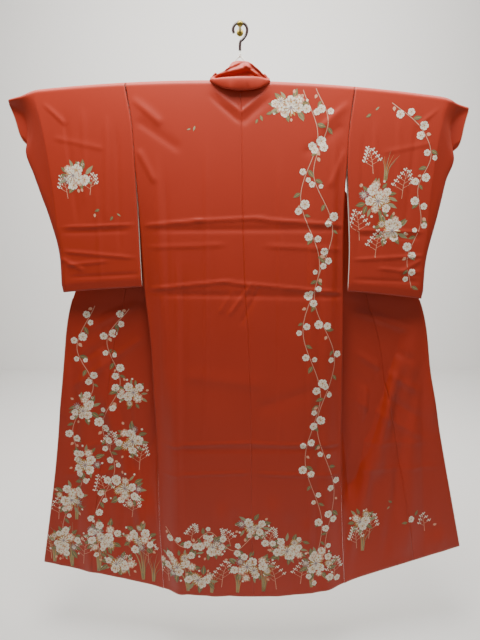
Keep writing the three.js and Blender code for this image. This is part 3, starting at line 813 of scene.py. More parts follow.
@dataclass
class BackPanel(Panel):
    """Half of the back, from the middle seam to the side seam."""

    across: int = 77
    along: int = 279
    cut: tuple[float, float, float] = (0.32, 1.575, 0.93)

    def shares(self) -> tuple[np.ndarray, np.ndarray]:
        """Adds lines at the neck's corner and over the rod.

        Returns:
            The places across and down, as shares.
        """
        neck = NECK_HALF / SHOULDER_HALF
        us = spaced(0, (neck * 0.85, 17), (neck * 1.04, 9), (1, self.across - 26))
        return us, spaced(0, (0.016, 8), (1, self.along - 8))

    def middle(self, u: np.ndarray, v: np.ndarray) -> np.ndarray:
        """Finds the middle of the cloth.

        Args:
            u: places across.
            v: places down.

        Returns:
            Points in mm.
        """
        side = self.side.value
        down = mix(neckline(u * SHOULDER_HALF) + SHOULDER_GAP / 2, LENGTH, v)
        seam = BACK.read(down, "middle") + side * SEAM / 2
        edge = BACK.read(down, self.side.word) - side * SEAM / 2
        x = mix(seam, edge, u)
        top = rod_height(x)
        angle = np.minimum(down, QUARTER) / OVER_ROD
        hem = mix(HEM_MIDDLE, HEM_LEFT if side < 0 else HEM_RIGHT, u**2)
        hanging = mix(top, hem, (down - QUARTER) / (LENGTH - QUARTER))
        z = np.where(down < QUARTER, top + OVER_ROD * np.cos(angle), hanging)
        round_off = smooth((u - (1 - ROUNDING)) / ROUNDING)
        y = mix(BACK.read(down, "middle_y"), BACK.read(down, "side_y"), round_off)
        settled = smooth((down - 300) / 300) * (1 - round_off)
        y = y - LARGE_FOLDS.height(x, z) * settled
        y = y - BACK_CREASES.height(x, z) * smooth((down - 30) / 60) * smooth((1 - u) / 0.05)
        y = np.where(down < QUARTER, ROD_Y - OVER_ROD * np.sin(angle), y)
        return np.stack([x, y, z], -1)


def front_point(side: Side, out: np.ndarray, down: np.ndarray) -> np.ndarray:
    """Finds the front's and the overlap's cloth, from the side seam to the free edge.

    Args:
        side: which front.
        out: distance along the cloth from the side seam, in mm.
        down: distance below the shoulder, in mm.

    Returns:
        Points in mm.
    """
    sign, word = side.value, side.word
    edge_x, edge_y, edge_z = (EDGES.read(down, column) for column in (word + "_x", "y", word + "_z"))
    seam_x = BACK.read(down, word)
    joined = smooth((down - ARMHOLE) / (SIDE_SEAM - ARMHOLE))
    turn = np.radians(FRONT_TURN.read(down, "turn"))
    off = SEAM + CLOTH * np.sin(turn / 2)
    start_y = mix(ROD_Y + OVER_ROD, BACK.read(down, "side_y") + off * np.sin(turn / 2), joined)
    hem = HEM_LEFT if sign < 0 else HEM_RIGHT
    start_z = mix(rod_height(seam_x), hem, np.maximum(0, down - QUARTER) / (LENGTH - QUARTER))
    start_x = seam_x + sign * (off * np.cos(turn / 2) * joined - SEAM / 2 * (1 - joined))
    width = FRONT_WIDTH + overlap_width(down)
    bend = FRONT_TURN.read(down, "bend")
    rise = edge_z - start_z
    flat = np.sqrt(np.maximum(width**2 - rise**2, 1))
    reach = sign * (edge_x - start_x)
    inwards = np.clip((flat - reach) / 2, 0, flat)
    places = (np.arange(STEPS) + 0.5) / STEPS
    run = places * flat[..., None]
    bent = smooth((run - inwards[..., None] + bend[..., None] / 2) / bend[..., None])
    heading = turn[..., None] * (1 - bent)
    step = (flat / STEPS)[..., None]
    zero = np.zeros((*flat.shape, 1))
    path_x = np.concatenate([zero, np.cumsum(np.cos(heading) * step, -1)], -1)
    path_y = np.concatenate([zero, np.cumsum(np.sin(heading) * step, -1)], -1)
    share = np.clip(out / width, 0, 1)
    at = share * STEPS
    cell = np.minimum(at.astype(int), STEPS - 1)
    part = (at - cell)[..., None]

    def pick(path: np.ndarray) -> np.ndarray:
        """Reads a path at the wanted places."""
        low = np.take_along_axis(path, cell[..., None], -1)
        high = np.take_along_axis(path, cell[..., None] + 1, -1)
        return (low + (high - low) * part)[..., 0]

    x = start_x + sign * (pick(path_x) + (reach - path_x[..., -1]) * share)
    y = start_y + pick(path_y) + (edge_y - start_y - path_y[..., -1]) * share
    z = mix(start_z, edge_z, share)
    angle = np.minimum(down, QUARTER) / OVER_ROD
    y = mix(ROD_Y + OVER_ROD, y, smooth((down - QUARTER) / 60))
    visible = smooth((down - 620) / 200) * smooth(out / 60)
    lift = LARGE_FOLDS.height(x, z) * visible
    y = np.minimum(y - lift, FOLDS_STOP)
    over = down < QUARTER
    y = np.where(over, ROD_Y + OVER_ROD * np.sin(angle), y)
    z = np.where(over, rod_height(x) + OVER_ROD * np.cos(angle), z)
    return np.stack([x, y, z], -1)


def overlap_width(down: np.ndarray) -> np.ndarray:
    """Finds the overlap's width, which tapers to its point.

    Args:
        down: distance below the shoulder, in mm.

    Returns:
        The width, in mm.
    """
    cut = np.clip((down - OVERLAP_TOP) / (COLLAR_END - OVERLAP_TOP), 0, 1)
    return OVERLAP_WIDTH * (cut - 0.03 * smooth((LENGTH - down) / (LENGTH - COLLAR_END)) * cut)


@dataclass
class FrontPanel(Panel):
    """A front, folded round behind the back and drawn out sideways."""

    across: int = 76
    along: int = 249
    cut: tuple[float, float, float] = (0.245, 1.575, 1.0)

    def shares(self) -> tuple[np.ndarray, np.ndarray]:
        """Gives lines across in mm, and down in mm with more over the rod."""
        vs = spaced(SHOULDER_GAP / 2, (OVER_SHOULDER, 8), (LENGTH, self.along - 8))
        return np.linspace(0, FRONT_WIDTH - SEAM, self.across + 1), vs

    def middle(self, u: np.ndarray, v: np.ndarray) -> np.ndarray:
        """Finds the middle of the cloth."""
        return creased_front(self.side, u, v)


def creased_front(side: Side, out: np.ndarray, down: np.ndarray) -> np.ndarray:
    """Adds the creases to a front where it shows.

    Args:
        side: which front.
        out: distance from the side seam, in mm.
        down: distance below the shoulder, in mm.

    Returns:
        Points in mm.
    """
    p = front_point(side, out, down)
    shows = smooth((down - 640) / 120) * smooth(out / 50)
    lifted = p[..., 1] - FRONT_CREASES.height(p[..., 0], p[..., 2]) * shows
    p[..., 1] = np.minimum(lifted, CREASES_STOP)
    return p


@dataclass
class Overlap(Panel):
    """The okumi, sewn to the front's free side."""

    across: int = 48
    along: int = 200
    cut: tuple[float, float, float] = (0.162, 1.34, 0.8)

    def shares(self) -> tuple[np.ndarray, np.ndarray]:
        """Gives lines across as shares, and down in mm."""
        return np.linspace(0, 1, self.across + 1), np.linspace(OVERLAP_TOP + 10, LENGTH, self.along + 1)

    def middle(self, u: np.ndarray, v: np.ndarray) -> np.ndarray:
        """Finds the middle of the cloth."""
        return creased_front(self.side, FRONT_WIDTH + mix(SEAM, overlap_width(v), u), v)


@dataclass
class SleeveLayer(Panel):
    """The back or front layer of a sleeve, open at the wrist and closed below it.

    Attributes:
        layer: 1 for the back one, -1 for the front one.
        steps: how many steps follow the sleeve outwards.
    """

    layer: int = 1
    steps: int = 64
    across: int = 100
    along: int = 129
    cut: tuple[float, float, float] = (0.34, 0.568, 1.0)

    def shares(self) -> tuple[np.ndarray, np.ndarray]:
        """Gives lines in mm, closer together where the cloth turns back."""
        us = spaced(0, (195, 39), (SLEEVE_WIDTH, self.across - 39))
        return us, spaced(SHOULDER_GAP / 2, (OVER_SHOULDER, 8), (SLEEVE_LENGTH, self.along - 8))

    def middle(self, u: np.ndarray, v: np.ndarray) -> np.ndarray:
        """Finds the middle of the cloth.

        Args:
            u: places across.
            v: places down.

        Returns:
            Points in mm.
        """
        held = smooth((u - 252) / 50)
        gap = mix(SLEEVE_HANG.read(v, "gap"), SLEEVE_HANG.read(v, "outer_gap"), held)
        to_bottom = smooth((SLEEVE_LENGTH - v) / CLOSING)
        to_edge = np.where(v > CUFF, smooth((SLEEVE_WIDTH - u) / CLOSING), 1)
        closed = np.minimum(to_bottom, mix(1, to_edge, smooth((v - CUFF) / 20)))
        half = mix(CLOSED_GAP, gap, closed) / 2
        quarter = half * math.pi / 2
        on_rod = np.minimum(v, quarter) / half
        past = np.maximum(v - quarter, 0)
        x, y, heading = self.line(u, past * (SLEEVE_LENGTH / (SLEEVE_LENGTH - quarter)))
        off = half * np.sin(on_rod) * self.layer
        point_x = x + self.side.value * np.sin(heading) * off
        point_y = y - np.cos(heading) * off
        z = rod_height(x) + half * np.cos(on_rod) - past
        shows = smooth((v - 30) / 50) * smooth((SLEEVE_LENGTH - v) / 24) * np.abs(np.cos(heading))
        point_y = point_y - SLEEVE_CREASES.height(point_x, z) * shows * smooth((300 - u) / 40)
        strip = SLEEVE_STRIPS[self.side]
        beyond = np.abs(x) - strip.read(z, "fold")
        beyond = np.where(beyond > 0, beyond * smooth(beyond / 8), 0) * (1 + np.cos(heading)) / 2
        room = np.maximum(SLEEVE_HANG.read(v, "nearest") - y, 0)
        back = room * np.tanh(beyond * strip.read(z, "slope") / (room + 0.1))
        point_x, point_y = point_x * (1 + back / 1400), point_y + back
        return np.stack([point_x, point_y, z], -1)

    def line(self, place: np.ndarray, down: np.ndarray) -> tuple[np.ndarray, np.ndarray, np.ndarray]:
        """Follows the sleeve from the armhole out and round past the rod's end.

        Args:
            place: distance out along the cloth, in mm.
            down: distance below the rod, in mm.

        Returns:
            x, y and heading of the line between the two layers.
        """
        columns = (f"{self.side.word}_{column}" for column in ("inner", "fold", "turn"))
        inner, fold, turn = (SLEEVES.read(down, column) for column in columns)
        straight, turn, bend = fold - inner, np.radians(turn), SLEEVES.read(down, "bend")
        nearest = SLEEVE_HANG.read(down, "nearest")
        step = place / self.steps
        x = inner + SEAM / 2
        y = SLEEVE_HANG.read(down, "y") + 0.0
        heading = np.zeros_like(place)
        for k in range(self.steps):
            wanted = turn * smooth(((k + 0.5) * step - straight) / bend)
            lying = math.pi * smooth((turn - 0.8) / 1.1)
            heading = mix(lying, wanted, smooth((nearest - y) / 20))
            x = x + np.cos(heading) * step
            y = np.minimum(y + np.sin(heading) * step, nearest + 3)
        return self.side.value * x, y, heading


@dataclass
class NeckCollar(Panel):
    """The collar behind the neck, rolled out with its inner half standing up before the cord."""

    CREASES: ClassVar[Folds] = Folds(
        [
            (-76, -137, 20, -116, 12, 11.0), (-58, -128, -4, -104, 7, 4.5), (8, -108, 48, -134, 6, 6.0),
            (24, -99, 74, -139, 5, 4.5), (-24, -100, -40, -122, 4, 3.0),
        ],
        (0.2, 0.3),
        0.3,
    )

    across: int = 100
    along: int = 64
    cut: tuple[float, float, float] = (0.11, 0.19, 0.62)
    thickness: float = COLLAR_CLOTH

    def shares(self) -> tuple[np.ndarray, np.ndarray]:
        """Gives lines across in mm, and round the roll as shares."""
        half = NECK_COLLAR.key[-1]
        return np.linspace(-half, half, self.across + 1), np.linspace(0, 1, self.along + 1)

    def middle(self, u: np.ndarray, v: np.ndarray) -> np.ndarray:
        """Finds the middle of the cloth.

        Args:
            u: places across.
            v: places down.

        Returns:
            Points in mm.
        """
        down = np.maximum(neckline(u), SHOULDER_GAP)
        angle = np.minimum(down + SHOULDER_GAP / 2, QUARTER) / OVER_ROD
        top = rod_height(u)
        seam_y = np.where(down < QUARTER, ROD_Y - OVER_ROD * np.sin(angle) - 0.8, -57.9)
        seam_z = np.where(down < QUARTER, top + OVER_ROD * np.cos(angle), top - (down - QUARTER)) + 2.8
        lines = ("fold", "crease", "inner", "top")
        ys = [seam_y, *(NECK_COLLAR.read(u, line + "_y") for line in lines)]
        zs = [seam_z, *(NECK_COLLAR.read(u, line + "_z") for line in lines)]
        y, z = through(ys, zs, v)
        stands = smooth((v - 0.62) / 0.2) * smooth((84 - np.abs(u)) / 20)
        band = smooth(v / 0.1) * smooth((0.45 - v) / 0.2)
        y = y - self.CREASES.height(u, z) * stands - 1.6 * band * np.exp(-(((u + 26) / 9) ** 2))
        y = y + 1.4 * band * np.exp(-(((u - 20) / 6) ** 2))
        return np.stack([u, y, z], -1)


def through(ys: list[np.ndarray], zs: list[np.ndarray], share: np.ndarray) -> tuple[np.ndarray, np.ndarray]:
    """Runs a smooth line through points, even in the number of points and not in length.

    Args:
        ys: the points' y values.
        zs: the points' heights.
        share: how far along, from 0 to 1.

    Returns:
        y and height there.
    """
    n = len(ys)
    at = share * (n - 1)
    cell = np.minimum(at.astype(int), n - 2)
    t = at - cell

    def run(values: list[np.ndarray]) -> np.ndarray:
        """Runs through one column of the points."""
        v = np.stack([2 * values[0] - values[1], *values, 2 * values[-1] - values[-2]])
        return between([np.take_along_axis(v, (cell + k)[None], 0)[0] for k in range(4)], t)

    return run(ys), run(zs)


@dataclass
class FrontCollar(Panel):
    """The collar along a front, turned in behind it."""

    across: int = 24
    along: int = 160
    cut: tuple[float, float, float] = (0.055, 0.77, 1.0)
    thickness: float = COLLAR_CLOTH

    def shares(self) -> tuple[np.ndarray, np.ndarray]:
        """Gives lines across as shares, and down in mm."""
        return np.linspace(0, 1, self.across + 1), spaced(0, (60, 29), (COLLAR_END, self.along - 29))

    def middle(self, u: np.ndarray, v: np.ndarray) -> np.ndarray:
        """Finds the middle of the cloth.

        Args:
            u: places across.
            v: places down.

        Returns:
            Points in mm.
        """
        sign = self.side.value
        row = {name: FRONT_COLLAR.read(v, name) for name in FRONT_COLLAR.columns}
        p = front_point(self.side, FRONT_WIDTH + overlap_width(v), np.maximum(v, SHOULDER_GAP / 2))
        p[..., 0] -= sign * (row["seam_in"] + u * row["inwards"])
        p[..., 1] += row["seam_back"] + u * row["back"]
        p[..., 2] += row["seam_up"] + u * row["up"]
        lower = v - np.minimum(0, u * row["up"])
        width = FRONT_WIDTH + overlap_width(lower)
        edge = front_point(self.side, width, lower)
        along = front_point(self.side, width - sign * (edge[..., 0] - p[..., 0]), lower)
        p[..., 1] = mix(p[..., 1], along[..., 1] + row["seam_back"], smooth((v - 110) / 70))
        return p


# ---------------------------------------------------------------- painted flowers
class Shapes:
    """Flat shapes of one unit's size, in the x, y plane."""

    @staticmethod
    def fan(outline: np.ndarray, centre: tuple[float, float] = (0, 0)) -> Flat:
        """Fills a star-shaped outline from its middle, with a ring half-way.

        Args:
            outline: its points in turn.
            centre: its middle.

        Returns:
            Points and faces.
        """
        n = len(outline)
        c = np.array(centre)
        half = c + (outline - c) * 0.5
        verts = np.concatenate([[c], half, outline])
        faces = [[0, 1 + k, 1 + (k + 1) % n] for k in range(n)]
        faces += [[1 + k, 1 + n + k, 1 + n + (k + 1) % n, 1 + (k + 1) % n] for k in range(n)]
        return verts, faces

    @classmethod
    def petals(cls, count: int, inner: float, spread: float, notch: float = 0.0, outer: float = 1.0) -> Flat:
        """Makes a ring of petals.

        Args:
            count: how many.
            inner: where they start.
            spread: their half width.
            notch: how deep the tip is cut.
            outer: where they end.

        Returns:
            Points and faces.
        """
        parts = []
        for k in range(count):
            turn = 2 * math.pi * k / count
            t = np.linspace(0, 2 * math.pi, 15)[:-1]
            long = (outer - inner) / 2
            x = inner + long - long * np.cos(t)
            x -= notch * np.exp(-(((t - math.pi) / 0.5) ** 2))
            y = spread * np.sin(t) * (0.75 - 0.35 * np.cos(t))
            cos, sin, middle = math.cos(turn), math.sin(turn), inner + long
            outline = np.stack([x * cos - y * sin, x * sin + y * cos], -1)
            parts.append(cls.fan(outline, (middle * cos, middle * sin)))
        return joined(parts)

    @classmethod
    def disc(cls, radius: float, sides: int = 12) -> Flat:
        """Makes a disc of a radius, with so many points round it."""
        t = np.arange(sides) * 2 * math.pi / sides
        return cls.fan(radius * np.stack([np.cos(t), np.sin(t)], -1))

    @classmethod
    def leaf(cls, width: float) -> Flat:
        """Makes a pointed leaf along x.

        Args:
            width: its half width.

        Returns:
            Points and faces.
        """
        t = np.linspace(0, 1, 9)
        w = width * np.sin(math.pi * t**0.8)
        up = np.stack([t, w], -1)
        down = np.stack([t[::-1][1:-1], -w[::-1][1:-1]], -1)
        return cls.fan(np.concatenate([up, down]), (0.45, 0))


class Motif(Enum):
    """Shapes that are scattered: name, dye, layer above the silk and what makes its flat shape."""

    PLUM = ("plum", Dye.CREAM, 2, lambda: Shapes.petals(5, 0.08, 0.52, 0.06))
    PLUM_BLUSH = ("plum_blush", Dye.PEACH, 3, lambda: Shapes.petals(5, 0.1, 0.1, outer=0.62))
    PLUM_HEART = ("plum_heart", Dye.OCHRE, 4, lambda: Shapes.disc(0.17))
    DAISY = ("daisy", Dye.OCHRE, 2, lambda: Shapes.petals(14, 0.3, 0.13))
    DAISY_INNER = ("daisy_inner", Dye.CREAM, 3, lambda: Shapes.petals(10, 0.12, 0.1, outer=0.72))
    DAISY_HEART = ("daisy_heart", Dye.MAUVE, 4, lambda: Shapes.disc(0.16))
    ROSE = ("rose", Dye.PEACH, 2, lambda: Shapes.petals(7, 0.2, 0.36, 0.04))
    ROSE_INNER = ("rose_inner", Dye.CREAM, 3, lambda: Shapes.petals(5, 0.06, 0.26, 0.03, outer=0.66))
    ROSE_HEART = ("rose_heart", Dye.OCHRE, 4, lambda: Shapes.disc(0.15))
    ASTER = ("aster", Dye.MAUVE, 2, lambda: Shapes.petals(12, 0.22, 0.1))
    ASTER_HEART = ("aster_heart", Dye.CREAM, 3, lambda: Shapes.petals(8, 0.08, 0.09, outer=0.5))
    LEAF = ("leaf", Dye.LEAF, 1, lambda: Shapes.leaf(0.24))
    LEAF_VEIN = ("leaf_vein", Dye.OCHRE, 2, lambda: Shapes.leaf(0.028))
    PALE_LEAF = ("pale_leaf", Dye.MOSS, 1, lambda: Shapes.leaf(0.17))
    BERRY = ("berry", Dye.CREAM, 1, lambda: Shapes.disc(0.5, 9))
    BUD = ("bud", Dye.PEACH, 2, lambda: Shapes.leaf(0.34))


WHOLE = {
    "plum": (Motif.PLUM, Motif.PLUM_BLUSH, Motif.PLUM_HEART),
    "daisy": (Motif.DAISY, Motif.DAISY_INNER, Motif.DAISY_HEART),
    "rose": (Motif.ROSE, Motif.ROSE_INNER, Motif.ROSE_HEART),
    "aster": (Motif.ASTER, Motif.ASTER_HEART),
    "leaf": (Motif.LEAF, Motif.LEAF_VEIN),
    "pale": (Motif.PALE_LEAF,),
    "berry": (Motif.BERRY,),
    "bud": (Motif.BUD,),
}


class Scatter:
    """Geometry nodes that set one shape at many marks, each with its own turn and size."""

    def __init__(self) -> None:
        """Builds the node group."""
        group = bpy.data.node_groups.new("scatter_motifs", "GeometryNodeTree")
        face = group.interface
        face.new_socket("Marks", in_out="INPUT", socket_type="NodeSocketGeometry")
        self.motif, self.finish, self.seed = (
            face.new_socket(name, in_out="INPUT", socket_type=f"NodeSocket{kind}").identifier
            for name, kind in (("Motif", "Object"), ("Finish", "Material"), ("Seed", "Int"))
        )
        face.new_socket("Flowers", in_out="OUTPUT", socket_type="NodeSocketGeometry")
        tree = Tree(group)
        marks, motif, finish, seed, _ = tree.node("NodeGroupInput")
        info = tree.node("GeometryNodeObjectInfo", {"Object": motif})
        turn, size = (
            tree.node("GeometryNodeInputNamedAttribute", {"Name": name}, data_type="FLOAT")[0]
            for name in ("turn", "size")
        )
        random = tree.node("FunctionNodeRandomValue", {"Seed": seed}, data_type="FLOAT")
        uneven = next(v for v in random if v.socket.enabled and v.socket.type == "VALUE")
        grown = size * (uneven * 0.16 + 0.92)
        swing = turn + (uneven - 0.5) * 0.2
        rotation = tree.node("ShaderNodeCombineXYZ", {"Z": swing})[0]
        placed = tree.node(
            "GeometryNodeInstanceOnPoints",
            {"Points": marks, "Instance": info[-1], "Rotation": rotation, "Scale": grown},
        )[0]
        real = tree.node("GeometryNodeRealizeInstances", {"Geometry": placed})[0]
        painted = tree.node("GeometryNodeSetMaterial", {"Geometry": real, "Material": finish})[0]
        tree.node("NodeGroupOutput", {"Flowers": painted})
        self.group = group

    @staticmethod
    def flat_mesh(name: str, points: np.ndarray, faces: Faces) -> bpy.types.Mesh:
        """Makes a mesh that lies in the x, y plane.

        Args:
            name: its name.
            points: x and y of each point.
            faces: its faces.

        Returns:
            The mesh.
        """
        mesh = bpy.data.meshes.new(name)
        mesh.from_pydata([(x, y, 0.0) for x, y in points.tolist()], [], faces)
        return mesh

    def spread(self, motif: Motif, marks: np.ndarray, seed: int) -> Flat:
        """Sets a motif at its marks.

        Args:
            motif: the shape.
            marks: x, y, turn and size of each, in mm and radians.
            seed: fixes the small differences.

        Returns:
            Flat points and faces.
        """
        name, dye, _, draw = motif.value
        shape = self.flat_mesh(name, *draw())
        mesh = self.flat_mesh("marks", marks[:, :2], [])
        for word, column in (("turn", 2), ("size", 3)):
            mesh.attributes.new(word, "FLOAT", "POINT").data.foreach_set("value", marks[:, column].copy())
        holder, shape_object = placed("marks", mesh), placed(name, shape)
        modifier = holder.modifiers.new("scatter", "NODES")
        modifier.node_group = self.group
        modifier[self.motif] = shape_object
        modifier[self.finish] = dye.value.make()
        modifier[self.seed] = seed
        bpy.context.view_layer.update()
        done = bpy.data.meshes.new_from_object(holder.evaluated_get(bpy.context.evaluated_depsgraph_get()))
        flat = np.array([v.co[:2] for v in done.vertices])
        cells = [list(p.vertices) for p in done.polygons]
        holder.modifiers.remove(modifier)
        for thing in (holder, shape_object):
            bpy.data.objects.remove(thing)
        for thing in (done, mesh, shape):
            bpy.data.meshes.remove(thing)
        return flat, cells


def curve(points: Sequence[tuple[float, float]], gap: float = 5.0) -> np.ndarray:
    """Runs a smooth line through points.

    Args:
        points: the points.
        gap: the length of its steps.

    Returns:
        Points along it.
    """
    p = np.array(points, float)
    p = np.concatenate([[2 * p[0] - p[1]], p, [2 * p[-1] - p[-2]]])
    line = []
    for i in range(1, len(p) - 2):
        n = max(int(np.linalg.norm(p[i + 1] - p[i]) / gap), 2)
        line.append(between(p[i - 1 : i + 3], np.linspace(0, 1, n, endpoint=False)[:, None]))
    line.append(p[-2][None])
    return np.concatenate(line)


def ribbon(line: np.ndarray, first: float, last: float) -> Flat:
    """Makes a flat tapering band.

    Args:
        line: its middle.
        first: its width at the start.
        last: its width at the end.

    Returns:
        Points and faces.
    """
    run = np.gradient(line, axis=0)
    run /= np.linalg.norm(run, axis=1)[:, None] + 1e-9
    side = np.stack([-run[:, 1], run[:, 0]], -1)
    width = np.linspace(first, last, len(line))[:, None] / 2
    verts = np.concatenate([line - side * width, line + side * width])
    n = len(line)
    return verts, [[i, i + 1, n + i + 1, n + i] for i in range(n - 1)]


Line = Sequence[tuple[float, float]]
Mark = tuple[str, float, float, float, float]
Row = tuple[float, ...]


@dataclass
class Cluster:
    """Flowers of one stretch of cloth, drawn as seen from the front, x and height in mm.

    Attributes:
        name: where it is.
        pieces: the silk pieces that it lies on.
        behind: True where it is painted on the wall side.
        stems: lines of dye, width at the start, width at the end, and points.
        marks: kind, x, height, turn in degrees and size.
    """

    name: str
    pieces: Sequence[str]
    behind: bool = False
    stems: list[tuple[Dye, float, float, Line]] = field(default_factory=list)
    marks: list[Mark] = field(default_factory=list)

    def along(self, kind: str, points: Line, gap: float, size: float, off: float, start: float = 0.0) -> None:
        """Sets marks by turns on both sides of a line.

        Args:
            kind: what to set.
            points: the line's points.
            gap: the distance between marks.
            size: their size.
            off: how far they stand off the line.
            start: where the first one is.
        """
        line = curve(points)
        run = np.gradient(line, axis=0)
        far = np.concatenate([[0], np.cumsum(np.linalg.norm(np.diff(line, axis=0), axis=1))])
        for n, place in enumerate(np.arange(start, far[-1], gap)):
            i = int(np.searchsorted(far, place))
            heading = math.atan2(run[i, 1], run[i, 0])
            hand = 1 if n % 2 else -1
            away = heading + hand * math.pi / 2
            x, z = line[i, 0] + off * math.cos(away), line[i, 1] + off * math.sin(away)
            uneven = 1 + 0.22 * math.sin(2.3 * n)
            self.marks.append((kind, x, z, math.degrees(heading + hand * 0.9), size * uneven))

    def vine(self, points: Line, bloom_gap: float, size: float = 12.0, dye: Dye = Dye.VINE) -> None:
        """Draws a thin vine with leaves, and with blossoms in pairs.

        Args:
            points: its points.
            bloom_gap: the distance from pair to pair.
            size: the blossoms' size.
            dye: the vine's colour.
        """
        self.stems.append((dye, 2.2, 1.6, points))
        self.along("leaf", points, bloom_gap * 0.71, size * 1.9, 2, bloom_gap * 0.3)
        self.along("plum", points, bloom_gap, size, size * 0.9, bloom_gap * 0.5)
        self.along("plum", points, bloom_gap, size * 0.85, -size, bloom_gap * 0.5 + size * 1.5)
        self.along("bud", points, bloom_gap * 1.7, size * 1.1, 4, bloom_gap * 0.1)

    def tuft(self, x: float, z: float, tall: float, blades: int, lean: float) -> None:
        """Draws a tuft of grass.

        Args:
            x: where it stands.
            z: the height of its foot.
            tall: its height.
            blades: how many.
            lean: how far its tips lean.
        """
        for k in range(blades):
            share = k / max(blades - 1, 1) - 0.5
            tip = tall * (1 - 0.6 * share**2 - 0.12 * (k % 3))
            sway = lean + share * tall * 0.62
            dye = (Dye.MOSS, Dye.OCHRE, Dye.LEAF)[k % 3]
            points = [(x + share * 7, z), (x + sway * 0.3, z + tip * 0.55), (x + sway, z + tip)]
            self.stems.append((dye, 2.6, 0.5, points))

    def spray(self, x: float, z: float, tall: float, lean: float, twigs: int = 9) -> None:
        """Draws a feathery spray: a bent stem with twigs by turns, each with dots at its tip.

        Args:
            x: where it stands.
            z: the height of its foot.
            tall: its height.
            lean: how far its tip leans.
            twigs: how many.
        """
        stem = [(x, z), (x + lean * 0.3, z + tall * 0.5), (x + lean, z + tall)]
        self.stems.append((Dye.PEACH, 1.6, 0.7, stem))
        for k in range(twigs):
            share = 0.25 + 0.75 * (k + 0.5) / twigs
            hand = 1 if k % 2 else -1
            foot_x, foot_z = x + lean * share**1.6, z + tall * share
            reach = tall * 0.42 * (1.15 - share)
            tip_x, tip_z = foot_x + hand * reach, foot_z + reach * 0.55
            self.stems.append((Dye.PEACH, 1.1, 0.6, [(foot_x, foot_z), (tip_x, tip_z)]))
            for n, (dx, dz) in enumerate(((0, 0), (-3.5, 3), (3, 4.5), (-hand * 7, -1))):
                self.marks.append(("berry", tip_x + dx, tip_z + dz, 0, 5.2 - 0.5 * n))

    def fill(self, bouquets: Sequence[Row], sprays: Sequence[Row], tufts: Sequence[Row], spread: int) -> None:
        """Draws bouquets, then sprays, then tufts.

        Args:
            bouquets: x, height, half width, half height and blooms of each.
            sprays: x, height, how tall and lean of each.
            tufts: x, height, how tall, blades and lean of each.
            spread: how many different seeds the bouquets have.
        """
        for row in bouquets:
            self.bouquet(*row, len(self.marks) % spread)
        for row in sprays:
            self.spray(*row)
        for row in tufts:
            self.tuft(*row)

    def bouquet(self, x: float, z: float, wide: float, tall: float, blooms: int, seed: int) -> None:
        """Gathers flowers round a point, the largest in the middle, with leaves showing round them.

        Args:
            x: its middle.
            z: its middle's height.
            wide: its half width.
            tall: its half height.
            blooms: how many flowers.
            seed: fixes the small differences.
        """
        rng = np.random.default_rng(seed)
        kinds = ("daisy", "plum", "rose", "plum", "aster", "plum", "rose", "plum")
        for k in range(blooms):
            share = math.sqrt((k + 0.35) / blooms)
            angle = 2.4 * k + seed + rng.uniform(-0.25, 0.25)
            size = (21 - 9 * share) * rng.uniform(0.88, 1.1) * (1.15 if k == 0 else 1.0)
            place = (x + wide * share * math.cos(angle), z + tall * share * math.sin(angle))
            self.marks.append((kinds[(k + seed) % 8] if k else "daisy", *place, rng.uniform(0, 360), size))
        for k in range(blooms + 3):
            angle = 2 * math.pi * k / (blooms + 3) + rng.uniform(-0.3, 0.3)
            place = (x + wide * 0.8 * math.cos(angle), z + tall * 0.8 * math.sin(angle))
            turn = math.degrees(angle) + rng.uniform(-35, 35)
            self.marks.append(("leaf" if k % 3 else "pale", *place, turn, rng.uniform(20, 32)))
        for k in range(5):
            angle = rng.uniform(0, 2 * math.pi)
            place = (x + wide * 1.25 * math.cos(angle), z + tall * 1.3 * math.sin(angle))
            self.marks.append(("bud" if k % 2 else "berry", *place, math.degrees(angle), 11 if k % 2 else 7))


